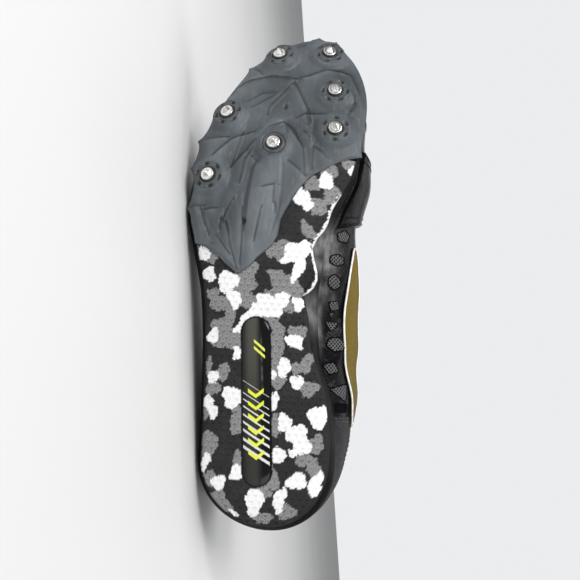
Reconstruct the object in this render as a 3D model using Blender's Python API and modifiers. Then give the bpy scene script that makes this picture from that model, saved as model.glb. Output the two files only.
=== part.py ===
"""A sprint spike for the right foot, lying on its outer side with the sole upright.

The shoe is worked out standing: +X from the heel to the toe, +Y to the inner side of the foot and
+Z up from the ground. The last step lays the finished pieces on their side, as they rest by
themselves on a floor, with the toe towards -X and the sole towards -Y. Lengths are metres.
"""
import bmesh
import bpy
import numpy as np
from math import acos, asin, atan2, cos, degrees, hypot, pi, radians, sin, sqrt
from mathutils import Matrix, Vector

# Driving dimensions of the shoe
SHOE_LENGTH = 0.280        # heel to toe tip, along the sole
BALL_WIDTH = 0.0925        # the sole's width across the ball
INSTEP_HEIGHT = 0.070      # the last's height over the feather edge at the collar's front
HEEL_HEIGHT = 0.068        # top of the collar at the back, over the ground
ANKLE_HEIGHT = 0.053       # lowest point of the collar, below the ankle
TOE_SPRING = 0.031         # how far the toe tip is lifted
HEEL_STACK = 0.0135        # ground to feather edge at the heel
TOE_STACK = 0.0065         # sole to feather edge at the toe

# Layers
OUTSOLE_THICKNESS = 0.0028
PLATE_PROUD = 0.0014       # how far the plate stands below the tread
PLATE_RELIEF = 0.0012      # height of the creases moulded in the plate
WALL = 0.0016              # the upper's wall
LASTING_MARGIN = 0.007     # the upper's turned-in lower edge
INSOLE_THICKNESS = 0.0020
INSOLE_INSET = 0.0038      # its edge stands in from the upper's outside
TONGUE_THICKNESS = 0.0026
SKIN = 0.0008              # overlays on the upper
STRAP_THICKNESS = 0.0022   # the strap over the inner side of the forefoot
STRAP_LIFT = 0.0008
PANEL_LIFT = 0.0005        # under the gold panel, where the last is round
GAP = 0.0003               # between pieces that touch
LAYER_GAP = 0.0005         # between the sole's curved layers
TONGUE_GAP = 0.0010        # between tongue and upper
MIDSOLE_FLARE = 0.0032     # the midsole's side stands out past the tread
MIDSOLE_INSET = 0.0006     # its lower edge stands in from the tread's
MIDSOLE_BULGE = 0.0004     # and its side bulges past the upper
HEEL_CAMBER = 0.0012       # how far the sole's edges lift over its middle, at the heel
BALL_CAMBER = 0.0036       # and at the ball
HEEL_BEVEL = 0.0022        # how far the tread's back edge is lifted
PLATE_LIP = 0.0006         # the plate's rim stands out past the sole

# Spikes
FLANGE_RADIUS = 0.0037
FLANGE_THICKNESS = 0.0011
POINT_WIDTH = 0.0034
POINT_HEIGHT = 0.0026
POINT_BLUNT = 0.45         # width of the point's tip, as a share of its foot
SHANK_RADIUS = 0.0022
SHANK_LENGTH = 0.0030
BOSS_RADIUS = 0.0090
BOSS_TOP_RADIUS = 0.0050
BOSS_HEIGHT = 0.0026
BOSS_ROOT = 0.0016         # how deep a boss starts inside the plate
SPIKE_SEGMENTS = 12

# Throat and lacing
THROAT_WIDTH = 0.019       # between the two eyestays, over the tongue
THROAT_TAPER = 0.22        # how much narrower it is at its front
THROAT_FRONT = 0.69        # share of the length where the throat ends
COLLAR_FRONT = 0.385       # share of the length where the collar meets the throat
THROAT_BACK = 0.25         # behind this share of the length the wall ends at the collar
TONGUE_WIDTH = 0.038
TONGUE_TIP = 0.72          # its width at the front, as a share of its full width
TONGUE_TOP = 0.78          # and at its top
TONGUE_FRONT = 0.045       # share of the length that it reaches past the throat's front
TONGUE_BACK = 0.075        # and back past the collar
EYESTAY_WIDTH = 0.013
EYESTAY_LIP = 0.0010       # its edge stands back from the throat's
EYESTAY_BACK = 0.015       # it starts this share of the length before the collar
EYELET_ROWS = 6
EYELET_FRONT = 0.035       # first eyelets behind the throat's front, as a share of the length
EYELET_BACK = 0.028        # last eyelets before the collar
LACE_WIDTH = 0.0050
LACE_THICKNESS = 0.0012
LACE_GAP = 0.0007          # between the lace and the eyestay

# Badge let into the tread
BADGE_LENGTH = 0.087
BADGE_WIDTH = 0.0148
BADGE_DOME = 0.0011
BADGE_ROUNDING = 0.0022    # width of each of the two bevels that round its face
BADGE_TURN = radians(-4.3)
BADGE_ALONG = 0.229        # its middle, as a share of the length
BADGE_ACROSS = -0.092      # and of the ball width, to the inner side

# Pocket in the tread's inner edge, at the arch
POCKET_RADIUS = 0.0085
POCKET_ALONG = 0.428
POCKET_ACROSS = 0.236

# Sole outline, a row for each station: share of the length, then the outer and the inner edge as
# shares of the ball width. The two ends are rounded by end_rounding.
SOLE_OUTLINE = (
    # along, outer, inner
    (0.00, 0.388, 0.335),
    (0.14, 0.390, 0.335),
    (0.24, 0.400, 0.297),
    (0.33, 0.413, 0.208),
    (0.43, 0.445, 0.182),
    (0.53, 0.522, 0.205),
    (0.60, 0.568, 0.270),
    (0.68, 0.566, 0.378),
    (0.77, 0.523, 0.426),
    (0.87, 0.492, 0.455),
    (1.00, 0.471, 0.465),
)
TOE_OFFSET = 0.080         # the toe tip's place inwards, as a share of the ball width
HEEL_ROUND = 0.121         # share of the length that rounds the heel
OUTER_TOE_ROUND = 0.270    # and the toe, at its outer and its inner side
INNER_TOE_ROUND = 0.215
OUTER_TOE_POWER = 1.75
SPRING_START = 0.465       # share of the length where the sole leaves the ground
CAMBER_REACH = 0.17        # share of the ball width over which the sole's edges lift
DISH_REACH = 0.45          # and over which the midsole's top dips
DISH_SHARE = 0.8           # depth of that dip, as a share of the camber
TREAD_END = 0.706          # share of the length where the tread ends, under the plate
SLAB_COLUMNS = (0.0, 0.07, 0.15, 0.25, 0.38, 0.5, 0.62, 0.75, 0.85, 0.93, 1.0)

# Plate edges behind the ball: share of the length, then the cut's outer and inner end as shares
# of the ball width, measured to the inner side.
PLATE_REAR = (
    # along, outer cut, inner cut
    (0.4650, -0.248, -0.248),
    (0.4820, -0.318, -0.180),
    (0.5000, -0.378, -0.140),
    (0.5195, -0.475, -0.075),
    (0.5240, -0.535, -0.060),
    (0.5440, -0.560, -0.030),
    (0.5760, -0.560, -0.020),
    (0.6150, -0.570, 0.033),
    (0.6410, -0.570, 0.075),
    (0.6680, -0.570, 0.144),
    (0.6990, -0.570, 0.297),
    (0.7180, -0.570, 0.425),
)

# Teeth along the plate's rim: share of the length, side (-1 outer, 1 inner) and size as a share of
# TOOTH_LENGTH
TOOTH_LENGTH = 0.0034
TOOTH_RADIUS = 0.0018
TOOTH_DROP = 0.0004        # how far a tooth's middle lies below the tread
PLATE_TEETH = (
    # along, side, size
    (0.596, -1, 0.9),
    (0.680, -1, 1.0),
    (0.741, -1, 1.1),
    (0.803, -1, 0.8),
    (0.918, -1, 1.0),
    (0.958, -1, 1.0),
    (0.972, -1, 0.8),
    (0.9995, 1, 0.9),
    (0.985, 1, 0.9),
    (0.718, 1, 0.6),
)

# Spikes: share of the length, and place across as a share of the ball width
SPIKES = (
    # name, along, across
    ("spike_toe_outer", 0.943, -0.120),
    ("spike_toe_inner", 0.950, 0.190),
    ("spike_front_inner", 0.854, 0.245),
    ("spike_front_outer", 0.798, -0.400),
    ("spike_ball_inner", 0.766, 0.262),
    ("spike_centre", 0.731, -0.100),
    ("spike_ball_outer", 0.659, -0.470),
)
KEEL_SPIKE = "spike_centre"

# The last, a row for each section: share of the length; crown over the feather edge, as a share
# of the instep height; level of the widest line over the feather edge, as a share of the instep
# height; how far the outer and the inner wall stand out past the feather edge, as shares of the
# ball width; and how square the section's shoulder is (1 is an ellipse, less is squarer).
LAST_SECTIONS = (
    # along, crown, widest, outer bulge, inner bulge, shoulder
    (0.00, 1.45, 0.30, 0.010, 0.012, 0.96),
    (0.10, 1.42, 0.31, 0.012, 0.036, 0.96),
    (0.19, 1.33, 0.32, 0.016, 0.090, 0.97),
    (0.28, 1.17, 0.33, 0.020, 0.172, 1.00),
    (0.36, 1.02, 0.33, 0.022, 0.236, 1.02),
    (0.44, 0.875, 0.32, 0.020, 0.240, 1.00),
    (0.52, 0.765, 0.28, 0.012, 0.200, 0.96),
    (0.60, 0.675, 0.23, 0.004, 0.110, 0.92),
    (0.68, 0.595, 0.19, 0.000, 0.060, 0.88),
    (0.77, 0.500, 0.15, -0.002, 0.014, 0.84),
    (0.87, 0.395, 0.13, -0.002, -0.002, 0.82),
    (0.94, 0.315, 0.12, -0.004, -0.004, 0.80),
    (0.98, 0.240, 0.11, -0.006, -0.006, 0.80),
    (1.00, 0.160, 0.08, -0.008, -0.008, 0.80),
)

# Height of the collar's edge between its back and its low point, as a share of that difference
COLLAR_LINE = (
    # along, height
    (0.00, 1.00),
    (0.04, 0.93),
    (0.10, 0.42),
    (0.17, 0.06),
    (0.23, 0.00),
    (0.29, 0.22),
    (0.34, 0.70),
    (0.40, 1.60),
    (0.46, 2.60),
)
HEEL_LEAN = 0.0075         # how far the collar's back leans forwards
HEEL_SWELL = 0.0022        # how far the heel's back stands out past the midsole
HEEL_REACH = 0.16          # share of the length over which the heel leans and swells
SWELL_TOP = 0.42           # share of the last's height at the heel where the swell ends
LEAN_SPAN = (0.25, 0.62)   # and between which the back turns to its lean
WALL_STRAIGHT = 0.45       # how much of the lower wall's rise is even, and not curved

# The lens on the inner quarter: its two ends as shares of the length, its middle line's turn on
# the last, half its width in turns, and how far it bows up
PANEL_SPAN = (0.20, 0.545)
PANEL_TURNS = (0.76, 0.72)
PANEL_HALF_WIDTH = 0.18
PANEL_BOW = -0.14
PANEL_TIP = 0.10           # width of its blunt tips, as a share of its width

# The strap over the inner side of the ball: its lower edge as shares of the length, how much it
# leans and narrows with each turn, and its lower and upper edge as turns
STRAP_SPAN = (0.575, 0.740)
STRAP_LEAN = 0.020
STRAP_TAPER = 0.030
STRAP_TURNS = (0.10, 1.30)

# The mesh of the upper
UPPER_STATIONS = 30
LOW_STEPS = 4
HIGH_STEPS = 6
MIDDLE_STEPS = 4
CORNER_STEPS = (-0.060, -0.044, -0.030, -0.018, -0.008, 0.002, 0.014)

# Colour, roughness, metallic value and density of each material
FINISHES = {
    "plate": ((0.13, 0.155, 0.185), 0.38, 0.0, 1050),
    "rubber": ((0.30, 0.31, 0.32), 0.75, 0.0, 1150),
    "badge": ((0.012, 0.012, 0.014), 0.15, 0.0, 1050),
    "foam": ((0.010, 0.010, 0.011), 0.60, 0.0, 1050),
    "sheet": ((0.030, 0.030, 0.034), 0.85, 0.0, 350),
    "film": ((0.014, 0.014, 0.017), 0.30, 0.0, 1050),
    "cloth": ((0.055, 0.058, 0.064), 0.85, 0.0, 350),
    "gold": ((0.26, 0.19, 0.035), 0.42, 0.3, 1050),
    "cord": ((0.020, 0.020, 0.022), 0.80, 0.0, 350),
    "steel": ((0.80, 0.80, 0.80), 0.22, 1.0, 7850),
}
HULL_TOLERANCE = 0.00005   # a face of the hull has no point further outside it than this


def column(rows, index, along):
    """The value of one column at a share of the length, on a smooth curve through the rows."""
    places = [row[0] for row in rows]
    values = [row[index] for row in rows]
    along = min(max(along, places[0]), places[-1])
    slot = max(i for i in range(len(rows) - 1) if places[i] <= along)
    slopes = [(b - a) / (q - p) for a, b, p, q in zip(values, values[1:], places, places[1:])]

    def tangent(i):
        if i in (0, len(rows) - 1):
            return slopes[0] if i == 0 else slopes[-1]
        if slopes[i - 1] * slopes[i] <= 0:
            return 0.0
        return 2 * slopes[i - 1] * slopes[i] / (slopes[i - 1] + slopes[i])

    span = places[slot + 1] - places[slot]
    share = (along - places[slot]) / span
    start, end = values[slot], values[slot + 1]
    enter, leave = tangent(slot) * span, tangent(slot + 1) * span
    return (start * (1 + 2 * share) * (1 - share) ** 2 + end * share ** 2 * (3 - 2 * share)
            + enter * share * (1 - share) ** 2 - leave * share ** 2 * (1 - share))


def straight(rows, index, along):
    """The value of one column on straight lines through the rows."""
    return float(np.interp(along, [row[0] for row in rows], [row[index] for row in rows]))


def ease(low, high, value):
    """0 below low, 1 above high, and a smooth rise between."""
    share = min(max((value - low) / (high - low), 0.0), 1.0)
    return share * share * (3 - 2 * share)


# Sole surfaces

def end_rounding(along, side):
    """How much of its width the sole keeps near its two ends."""
    keep = 1.0
    if along < HEEL_ROUND:
        keep = sqrt(max(0.0, 1 - (1 - along / HEEL_ROUND) ** 2))
    length, power = (OUTER_TOE_ROUND, OUTER_TOE_POWER) if side < 0 else (INNER_TOE_ROUND, 2.0)
    if along > 1 - length:
        keep = max(0.0, 1 - ((along - 1 + length) / length) ** power) ** (1 / power)
    return keep


def axis_y(along):
    """The sole's middle line, which turns inwards to the toe."""
    return TOE_OFFSET * BALL_WIDTH * along ** 2


def edge_y(along, side):
    """The sole's edge at its outer (-1) or inner (1) side."""
    full = side * column(SOLE_OUTLINE, 1 if side < 0 else 2, along) * BALL_WIDTH
    return axis_y(along) + (full - axis_y(along)) * end_rounding(along, side)


def camber(along):
    """How far the sole's edges are lifted over its middle."""
    return HEEL_CAMBER + (BALL_CAMBER - HEEL_CAMBER) * ease(0.30, 0.62, along)


def edge_distance(x, y, flare=0.0):
    """How far a place lies inside the sole's edge, or inside the feather edge."""
    along = min(max((x + flare) / (SHOE_LENGTH + flare), 0.0), 1.0)
    side = 1 if y > axis_y(along) else -1
    half = abs(edge_y(along, side) - axis_y(along)) + flare * end_rounding(along, side)
    return min(half - abs(y - axis_y(along)), x + flare, SHOE_LENGTH - x)


def spring(along):
    """How far the toe spring has lifted the sole."""
    return TOE_SPRING * max(0.0, (along - SPRING_START) / (1 - SPRING_START)) ** 2


def ground_z(along, y):
    """Height of the tread's underside."""
    back = HEEL_BEVEL * max(0.0, 1 - along / 0.07) ** 2
    rim = 1 - edge_distance(along * SHOE_LENGTH, y) / (CAMBER_REACH * BALL_WIDTH)
    return spring(along) + back + camber(along) * min(max(rim, 0.0), 1.2) ** 2


def stack(along):
    """Tread underside to feather edge."""
    return TOE_STACK + (HEEL_STACK - TOE_STACK) * (1 - ease(0.10, 0.85, along))


def feather_flare(along):
    """How far the feather edge stands out past the tread."""
    return MIDSOLE_FLARE * (1 - ease(0.60, 0.80, along))


def footbed_z(x, y):
    """The midsole's top, which dips between its edges."""
    along = min(max(x / SHOE_LENGTH, 0.0), 1.0)
    rim = 1 - edge_distance(x, y, feather_flare(along)) / (DISH_REACH * BALL_WIDTH)
    dip = DISH_SHARE * camber(along) * min(max(rim, 0.0), 1.0) ** 2
    return spring(along) + stack(along) + dip


def feather(along, side, inset=0.0):
    """The feather edge, where the upper meets the midsole, drawn in by inset."""
    x_low, x_high = -MIDSOLE_FLARE + inset, SHOE_LENGTH - inset
    x = x_low + (x_high - x_low) * along
    middle = axis_y(along)
    half = abs(edge_y(along, side) - middle) + feather_flare(along) * end_rounding(along, side)
    y = middle + side * half * (1 - inset / (DISH_REACH * BALL_WIDTH))
    return Vector((x, y, footbed_z(x, y)))


# The last and the upper

def last_point(along, side, turn):
    """A point of the last: turn is 0 at the feather edge, 1 at the widest line, 2 at the crown."""
    foot = feather(along, side)
    rounding = end_rounding(along, side)
    bulge = column(LAST_SECTIONS, 3 if side < 0 else 4, along) * BALL_WIDTH * rounding
    crown = column(LAST_SECTIONS, 1, along) * INSTEP_HEIGHT
    widest = column(LAST_SECTIONS, 2, along) * INSTEP_HEIGHT
    shoulder = column(LAST_SECTIONS, 5, along)
    wide_y = foot.y + side * bulge
    middle = axis_y(along)
    if turn <= 1:
        bend = turn * pi / 2
        y = foot.y + (wide_y - foot.y) * sin(bend)
        rise = widest * (WALL_STRAIGHT * turn + (1 - WALL_STRAIGHT) * (1 - cos(bend)))
    else:
        bend = (turn - 1) * pi / 2
        y = middle + (wide_y - middle) * max(cos(bend), 0.0) ** shoulder
        rise = widest + (crown - widest) * sin(bend) ** shoulder
    back = max(0.0, 1 - along / HEEL_REACH) ** 2
    level = rise / (LAST_SECTIONS[0][1] * INSTEP_HEIGHT)
    swell = HEEL_SWELL * sin(pi * min(level / SWELL_TOP, 1.0))
    lean = HEEL_LEAN * ease(*LEAN_SPAN, level)
    return Vector((foot.x + back * (lean - swell), y, foot.z + rise))


def last_normal(along, side, turn):
    """The outward normal of the last."""
    step = 0.004
    fore = last_point(min(along + step, 0.999), side, turn)
    aft = last_point(max(along - step, 0.001), side, turn)
    high = last_point(along, side, min(turn + step, 1.999))
    low = last_point(along, side, max(turn - step, 0.001))
    return (high - low).cross(fore - aft).normalized() * side


def over_last(along, side, turn, lift):
    """A point at a height over the last."""
    return last_point(along, side, turn) + last_normal(along, side, turn) * lift


def top_turn(along, y):
    """Side and turn of the last's point over a place in plan, on its upper half."""
    side = 1 if y >= axis_y(along) else -1
    wide = feather(along, side).y - axis_y(along)
    wide += side * column(LAST_SECTIONS, 3 if side < 0 else 4, along) * BALL_WIDTH
    shoulder = column(LAST_SECTIONS, 5, along)
    share = min(abs(y - axis_y(along)) / abs(wide), 1.0) ** (1 / shoulder)
    return side, 1 + acos(share) / (pi / 2)


def over_top(x, y, lift):
    """A point at a height over the last's top, over a place in plan."""
    along = x / SHOE_LENGTH
    side, turn = top_turn(along, y)
    return over_last(along, side, turn, lift)


def throat_half_width(along):
    """Half the throat's width, which narrows to a round front end."""
    return THROAT_WIDTH / 2 * (1 - THROAT_TAPER * ease(COLLAR_FRONT, THROAT_FRONT, along))


def collar_turn(along):
    """The turn at which a wall reaches the collar's edge."""
    rise = ANKLE_HEIGHT + (HEEL_HEIGHT - ANKLE_HEIGHT) * column(COLLAR_LINE, 1, along)
    rise -= feather(along, 1).z
    crown = column(LAST_SECTIONS, 1, along) * INSTEP_HEIGHT
    widest = column(LAST_SECTIONS, 2, along) * INSTEP_HEIGHT
    shoulder = column(LAST_SECTIONS, 5, along)
    share = min(max((rise - widest) / (crown - widest), 0.02), 1.0)
    return 1 + asin(share ** (1 / shoulder)) / (pi / 2)


def opening_turn(along, side):
    """The turn at which the wall ends, at the collar or at the throat."""
    if along < THROAT_BACK:
        return collar_turn(along)
    throat = top_turn(along, axis_y(along) + side * throat_half_width(along))[1]
    if along >= COLLAR_LINE[-1][0]:
        return throat
    return min(throat, collar_turn(along))


def stations(start, end, count):
    """Shares of the length from start to end, closer together where an end is rounded."""
    places = []
    if start == 0:
        steps = max(4, count // 5)
        places += [0.10 * (1 - cos(i / steps * pi / 2)) for i in range(steps)]
        start = 0.10
    tail = []
    if end == 1:
        steps = max(5, count // 4)
        tail = [1 - 0.16 * (1 - cos(i / steps * pi / 2)) for i in range(steps)][::-1]
        end = 0.84
    middle = count - len(places) - len(tail)
    last = middle if tail else middle - 1
    places += [start + (end - start) * i / last for i in range(middle)]
    return places + tail


# Mesh helpers

def finish(name):
    """A Principled material with the named finish."""
    colour, roughness, metallic, _ = FINISHES[name]
    material = bpy.data.materials.get(name) or bpy.data.materials.new(name)
    material.use_nodes = True
    shader = material.node_tree.nodes["Principled BSDF"]
    shader.inputs["Base Color"].default_value = (*colour, 1.0)
    shader.inputs["Roughness"].default_value = roughness
    shader.inputs["Metallic"].default_value = metallic
    material.diffuse_color = (*colour, 1.0)
    return material


def add_object(name, mesh, collection, finish_name=None):
    """An object for a mesh, in a collection."""
    item = bpy.data.objects.new(name, mesh)
    collection.objects.link(item)
    if finish_name:
        mesh.materials.append(finish(finish_name))
    return item


def mesh_of(points, faces, name):
    """A mesh with its doubled points merged and its faces turned outwards."""
    mesh = bpy.data.meshes.new(name)
    mesh.from_pydata([tuple(point) for point in points], [], faces)
    work = bmesh.new()
    work.from_mesh(mesh)
    bmesh.ops.remove_doubles(work, verts=work.verts, dist=0.00002)
    bmesh.ops.dissolve_degenerate(work, edges=work.edges, dist=0.000005)
    bmesh.ops.recalc_face_normals(work, faces=work.faces)
    work.to_mesh(mesh)
    work.free()
    return mesh


def smooth(item, angle=38):
    """Smooth shading with sharp edges kept."""
    item.data.shade_smooth()
    item.data.set_sharp_from_angle(angle=radians(angle))


def loft(name, loops, collection, finish_name, cap_start=False, cap_end=False):
    """A solid through closed loops with the same number of points. A loop that ends in a plain
    line closes by itself, and any other end takes a cap."""
    size = len(loops[0])
    points = [point for loop in loops for point in loop]
    faces = []
    for i in range(len(loops) - 1):
        for j in range(size):
            k = (j + 1) % size
            faces.append((i * size + j, i * size + k, (i + 1) * size + k, (i + 1) * size + j))
    if cap_start:
        faces.append(tuple(range(size)))
    if cap_end:
        faces.append(tuple((len(loops) - 1) * size + j for j in range(size)))
    return add_object(name, mesh_of(points, faces, name), collection, finish_name)


def sheet(name, rows, thickness, collection, finish_name):
    """A thick sheet on a grid of points: each point comes with the direction of its thickness."""
    wide = len(rows[0])
    near = [point for row in rows for point, _ in row]
    far = [point + way * thickness for row in rows for point, way in row]
    count = len(near)
    faces = []
    for i in range(len(rows) - 1):
        for j in range(wide - 1):
            a, b, c, d = i * wide + j, i * wide + j + 1, (i + 1) * wide + j + 1, (i + 1) * wide + j
            faces.append((a, b, c, d))
            faces.append((count + d, count + c, count + b, count + a))
    rim = list(range(wide))
    rim += [i * wide + wide - 1 for i in range(1, len(rows))]
    rim += [(len(rows) - 1) * wide + j for j in range(wide - 2, -1, -1)]
    rim += [i * wide for i in range(len(rows) - 2, 0, -1)]
    for a, b in zip(rim, rim[1:] + rim[:1]):
        faces.append((b, a, count + a, count + b))
    return add_object(name, mesh_of(near + far, faces, name), collection, finish_name)


def boolean(item, cutter, operation, name, solver="EXACT"):
    """A Boolean whose cutter stays out of the renders."""
    step = item.modifiers.new(name, "BOOLEAN")
    step.operation = operation
    step.solver = solver
    step.object = cutter
    cutter.hide_render = True
    cutter.display_type = "WIRE"


def cone(name, radius, top_radius, height, segments, collection):
    """A closed cone along +Z from its base at the origin."""
    work = bmesh.new()
    bmesh.ops.create_cone(work, cap_ends=True, segments=segments, radius1=radius,
                          radius2=top_radius, depth=height,
                          matrix=Matrix.Translation((0, 0, height / 2)))
    mesh = bpy.data.meshes.new(name)
    work.to_mesh(mesh)
    work.free()
    return add_object(name, mesh, collection)


# Pieces under the foot

def slab_loop(along, low_edges, high_edges, low_z, high_z, flare):
    """One closed section of a sole layer, with the points of its two sides given by flare."""
    low, high = low_edges
    loop = []
    for share in SLAB_COLUMNS:
        y = low + (high - low) * share
        loop.append(Vector((along * SHOE_LENGTH, y, low_z(along, y))))
    top_low, top_high = high_edges
    tops = []
    for share in reversed(SLAB_COLUMNS):
        place = top_low.lerp(top_high, share)
        tops.append(Vector((place.x, place.y, high_z(place.x, place.y))))
    loop.append(flare(along, 1, (loop[-1].z + tops[0].z) / 2))
    loop += tops
    loop.append(flare(along, -1, (loop[0].z + tops[-1].z) / 2))
    return loop


def make_midsole(parts):
    """The foam wedge between tread, plate and upper."""
    def low_z(along, y):
        return ground_z(along, y) + OUTSOLE_THICKNESS + LAYER_GAP

    def high_z(x, y):
        return footbed_z(x, y) - LAYER_GAP

    def flare(along, side, z):
        point = feather(along, side, -MIDSOLE_BULGE)
        return Vector((point.x, point.y, z))

    loops = []
    for along in stations(0, 1, 26):
        edges = []
        for side in (-1, 1):
            keep = end_rounding(along, side)
            edges.append(edge_y(along, side) - side * MIDSOLE_INSET * keep)
        tops = (feather(along, -1), feather(along, 1))
        loops.append(slab_loop(along, edges, tops, low_z, high_z, flare))
    item = loft("midsole", loops, parts, "foam")
    smooth(item)


def outsole_loops():
    """Sections of the tread, from the heel to under the plate."""
    def high_z(x, y):
        return ground_z(x / SHOE_LENGTH, y) + OUTSOLE_THICKNESS

    loops = []
    for along in stations(0, TREAD_END, 24):
        edges = (edge_y(along, -1), edge_y(along, 1))
        tops = [Vector((along * SHOE_LENGTH, y, 0)) for y in edges]

        def side_point(place, side, z):
            return Vector((place * SHOE_LENGTH, edge_y(place, side), z))

        loops.append(slab_loop(along, edges, tops, ground_z, high_z, side_point))
    return loops


def plate_edges(along):
    """The plate's outer and inner edge, behind the ball the cut and before it the sole's edge."""
    outer = edge_y(along, -1) - PLATE_LIP * end_rounding(along, -1)
    inner = edge_y(along, 1) + PLATE_LIP * end_rounding(along, 1)
    if along < PLATE_REAR[-1][0]:
        outer = max(outer, straight(PLATE_REAR, 1, along) * BALL_WIDTH)
        inner = min(inner, straight(PLATE_REAR, 2, along) * BALL_WIDTH)
    return outer, inner


def spike_place(name):
    """Where a spike stands, in plan."""
    along, across = next(row[1:] for row in SPIKES if row[0] == name)
    return along * SHOE_LENGTH, across * BALL_WIDTH


def crease(x, y):
    """Height of the plate's moulded creases: a fan round the keel's spike, and the keel itself."""
    hub_x, hub_y = spike_place(KEEL_SPIKE)
    reach = hypot(x - hub_x, y - hub_y)
    turn = degrees(atan2(y - hub_y, x - hub_x)) / 24
    wave = abs((turn % 1) - 0.5) * 2
    fan = wave * ease(0.010, 0.028, reach)
    keel_y = hub_y + (x - hub_x) * 0.18
    keel = max(0.0, 1 - abs(y - keel_y) / 0.008) if x < hub_x else 0.0
    return PLATE_RELIEF * max(fan, 1.3 * keel)


def plate_z(x, y):
    """Height of the plate's underside."""
    along = x / SHOE_LENGTH
    rim = ease(0.0, 0.006, edge_distance(x, y))
    return ground_z(along, y) - PLATE_PROUD * (0.55 + 0.45 * rim) - crease(x, y) * rim


def plate_normal(x, y):
    """The direction straight down from the plate."""
    reach = 0.006
    fore = ground_z((x + reach) / SHOE_LENGTH, y) - ground_z((x - reach) / SHOE_LENGTH, y)
    side = ground_z(x / SHOE_LENGTH, y + reach) - ground_z(x / SHOE_LENGTH, y - reach)
    return Vector((fore / (2 * reach), side / (2 * reach), -1)).normalized()


def plate_loops(grow=0.0, deep=0.0):
    """Sections of the plate, grown for the cutter that makes room for it."""
    def low_z(along, y):
        return plate_z(along * SHOE_LENGTH, y) - deep

    def high_z(x, y):
        return ground_z(x / SHOE_LENGTH, y) + OUTSOLE_THICKNESS - GAP + deep

    def side_point(place, side, z):
        return Vector((place * SHOE_LENGTH, edges[1] if side > 0 else edges[0], z))

    places = [row[0] for row in PLATE_REAR]
    front = stations(places[-1], 1, 15)[1:]
    loops = []
    for along in places + front:
        outer, inner = plate_edges(along)
        edges = (outer - grow, inner + grow)
        shift = -grow if along == places[0] else 0.0
        tops = [Vector((along * SHOE_LENGTH, y, 0)) for y in edges]
        loop = slab_loop(along, edges, tops, low_z, high_z, side_point)
        loops.append([point + Vector((shift, 0, 0)) for point in loop])
    return loops


def aim(x, y, depth):
    """A frame on the plate at a place in plan, with +Z pointing down out of the sole."""
    down = plate_normal(x, y)
    point = Vector((x, y, plate_z(x, y))) + down * depth
    return Matrix.Translation(point) @ down.to_track_quat("Z", "X").to_matrix().to_4x4()


def make_plate(parts, cutters):
    """The moulded spike plate with its bosses and the teeth of its rim.

    Its pieces are joined with the manifold solver: the exact one loses the plate at some widths."""
    item = loft("spike_plate", plate_loops(), parts, "plate")
    slope = (BOSS_RADIUS - BOSS_TOP_RADIUS) / BOSS_HEIGHT
    for name, _, _ in SPIKES:
        boss = cone(f"boss_of_{name}", BOSS_RADIUS + slope * BOSS_ROOT, BOSS_TOP_RADIUS,
                    BOSS_HEIGHT + BOSS_ROOT, 12, cutters)
        boss.matrix_world = aim(*spike_place(name), -BOSS_ROOT)
        boolean(item, boss, "UNION", f"boss of {name}", "MANIFOLD")
    for index, (along, side, size) in enumerate(PLATE_TEETH):
        x, y = along * SHOE_LENGTH, plate_edges(along)[0 if side < 0 else 1]
        ahead = ease(0.86, 1.0, along)
        way = Vector((ahead, side * (1.02 - ahead), 0.12 + 0.30 * ahead)).normalized()
        length = TOOTH_LENGTH * size
        tooth = cone(f"tooth_{index}", TOOTH_RADIUS, 0.3 * TOOTH_RADIUS, 2 * length, 5, cutters)
        base = Vector((x, y, ground_z(along, y) - TOOTH_DROP)) - way * length
        turn = way.to_track_quat("Z", "X").to_matrix().to_4x4()
        tooth.matrix_world = Matrix.Translation(base) @ turn
        boolean(item, tooth, "UNION", f"tooth {index}", "MANIFOLD")
    for name, _, _ in SPIKES:
        bore = cone(f"bore_of_{name}", SHANK_RADIUS + GAP, SHANK_RADIUS + GAP,
                    2 * SHANK_LENGTH, 10, cutters)
        bore.matrix_world = aim(*spike_place(name), BOSS_HEIGHT - SHANK_LENGTH - GAP)
        boolean(item, bore, "DIFFERENCE", f"bore of {name}", "MANIFOLD")
    smooth(item, 20)


def make_outsole(parts, cutters):
    """The rubber tread, cut round the plate, the badge and the pocket in the arch."""
    item = loft("outsole", outsole_loops(), parts, "rubber", cap_end=True)
    room = loft("plate_room", plate_loops(GAP, 2 * OUTSOLE_THICKNESS), cutters, None, True, True)
    boolean(item, room, "DIFFERENCE", "room for the plate")
    seat = add_object("badge_room", pill_mesh("badge_room", GAP, 4 * OUTSOLE_THICKNESS), cutters)
    seat.matrix_world = badge_frame(2 * OUTSOLE_THICKNESS)
    boolean(item, seat, "DIFFERENCE", "room for the badge")
    height = 8 * OUTSOLE_THICKNESS
    pocket = cone("arch_pocket", POCKET_RADIUS, POCKET_RADIUS, height, 12, cutters)
    pocket.matrix_world = Matrix.Translation((POCKET_ALONG * SHOE_LENGTH,
                                              POCKET_ACROSS * BALL_WIDTH, -height / 2))
    boolean(item, pocket, "DIFFERENCE", "arch pocket")


def badge_frame(height):
    """The badge's frame: +X along the badge, +Z down out of the tread."""
    middle = Vector((BADGE_ALONG * SHOE_LENGTH, BADGE_ACROSS * BALL_WIDTH, height))
    flip = Matrix.Rotation(pi, 4, "X")
    return Matrix.Translation(middle) @ Matrix.Rotation(BADGE_TURN, 4, "Z") @ flip


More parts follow.
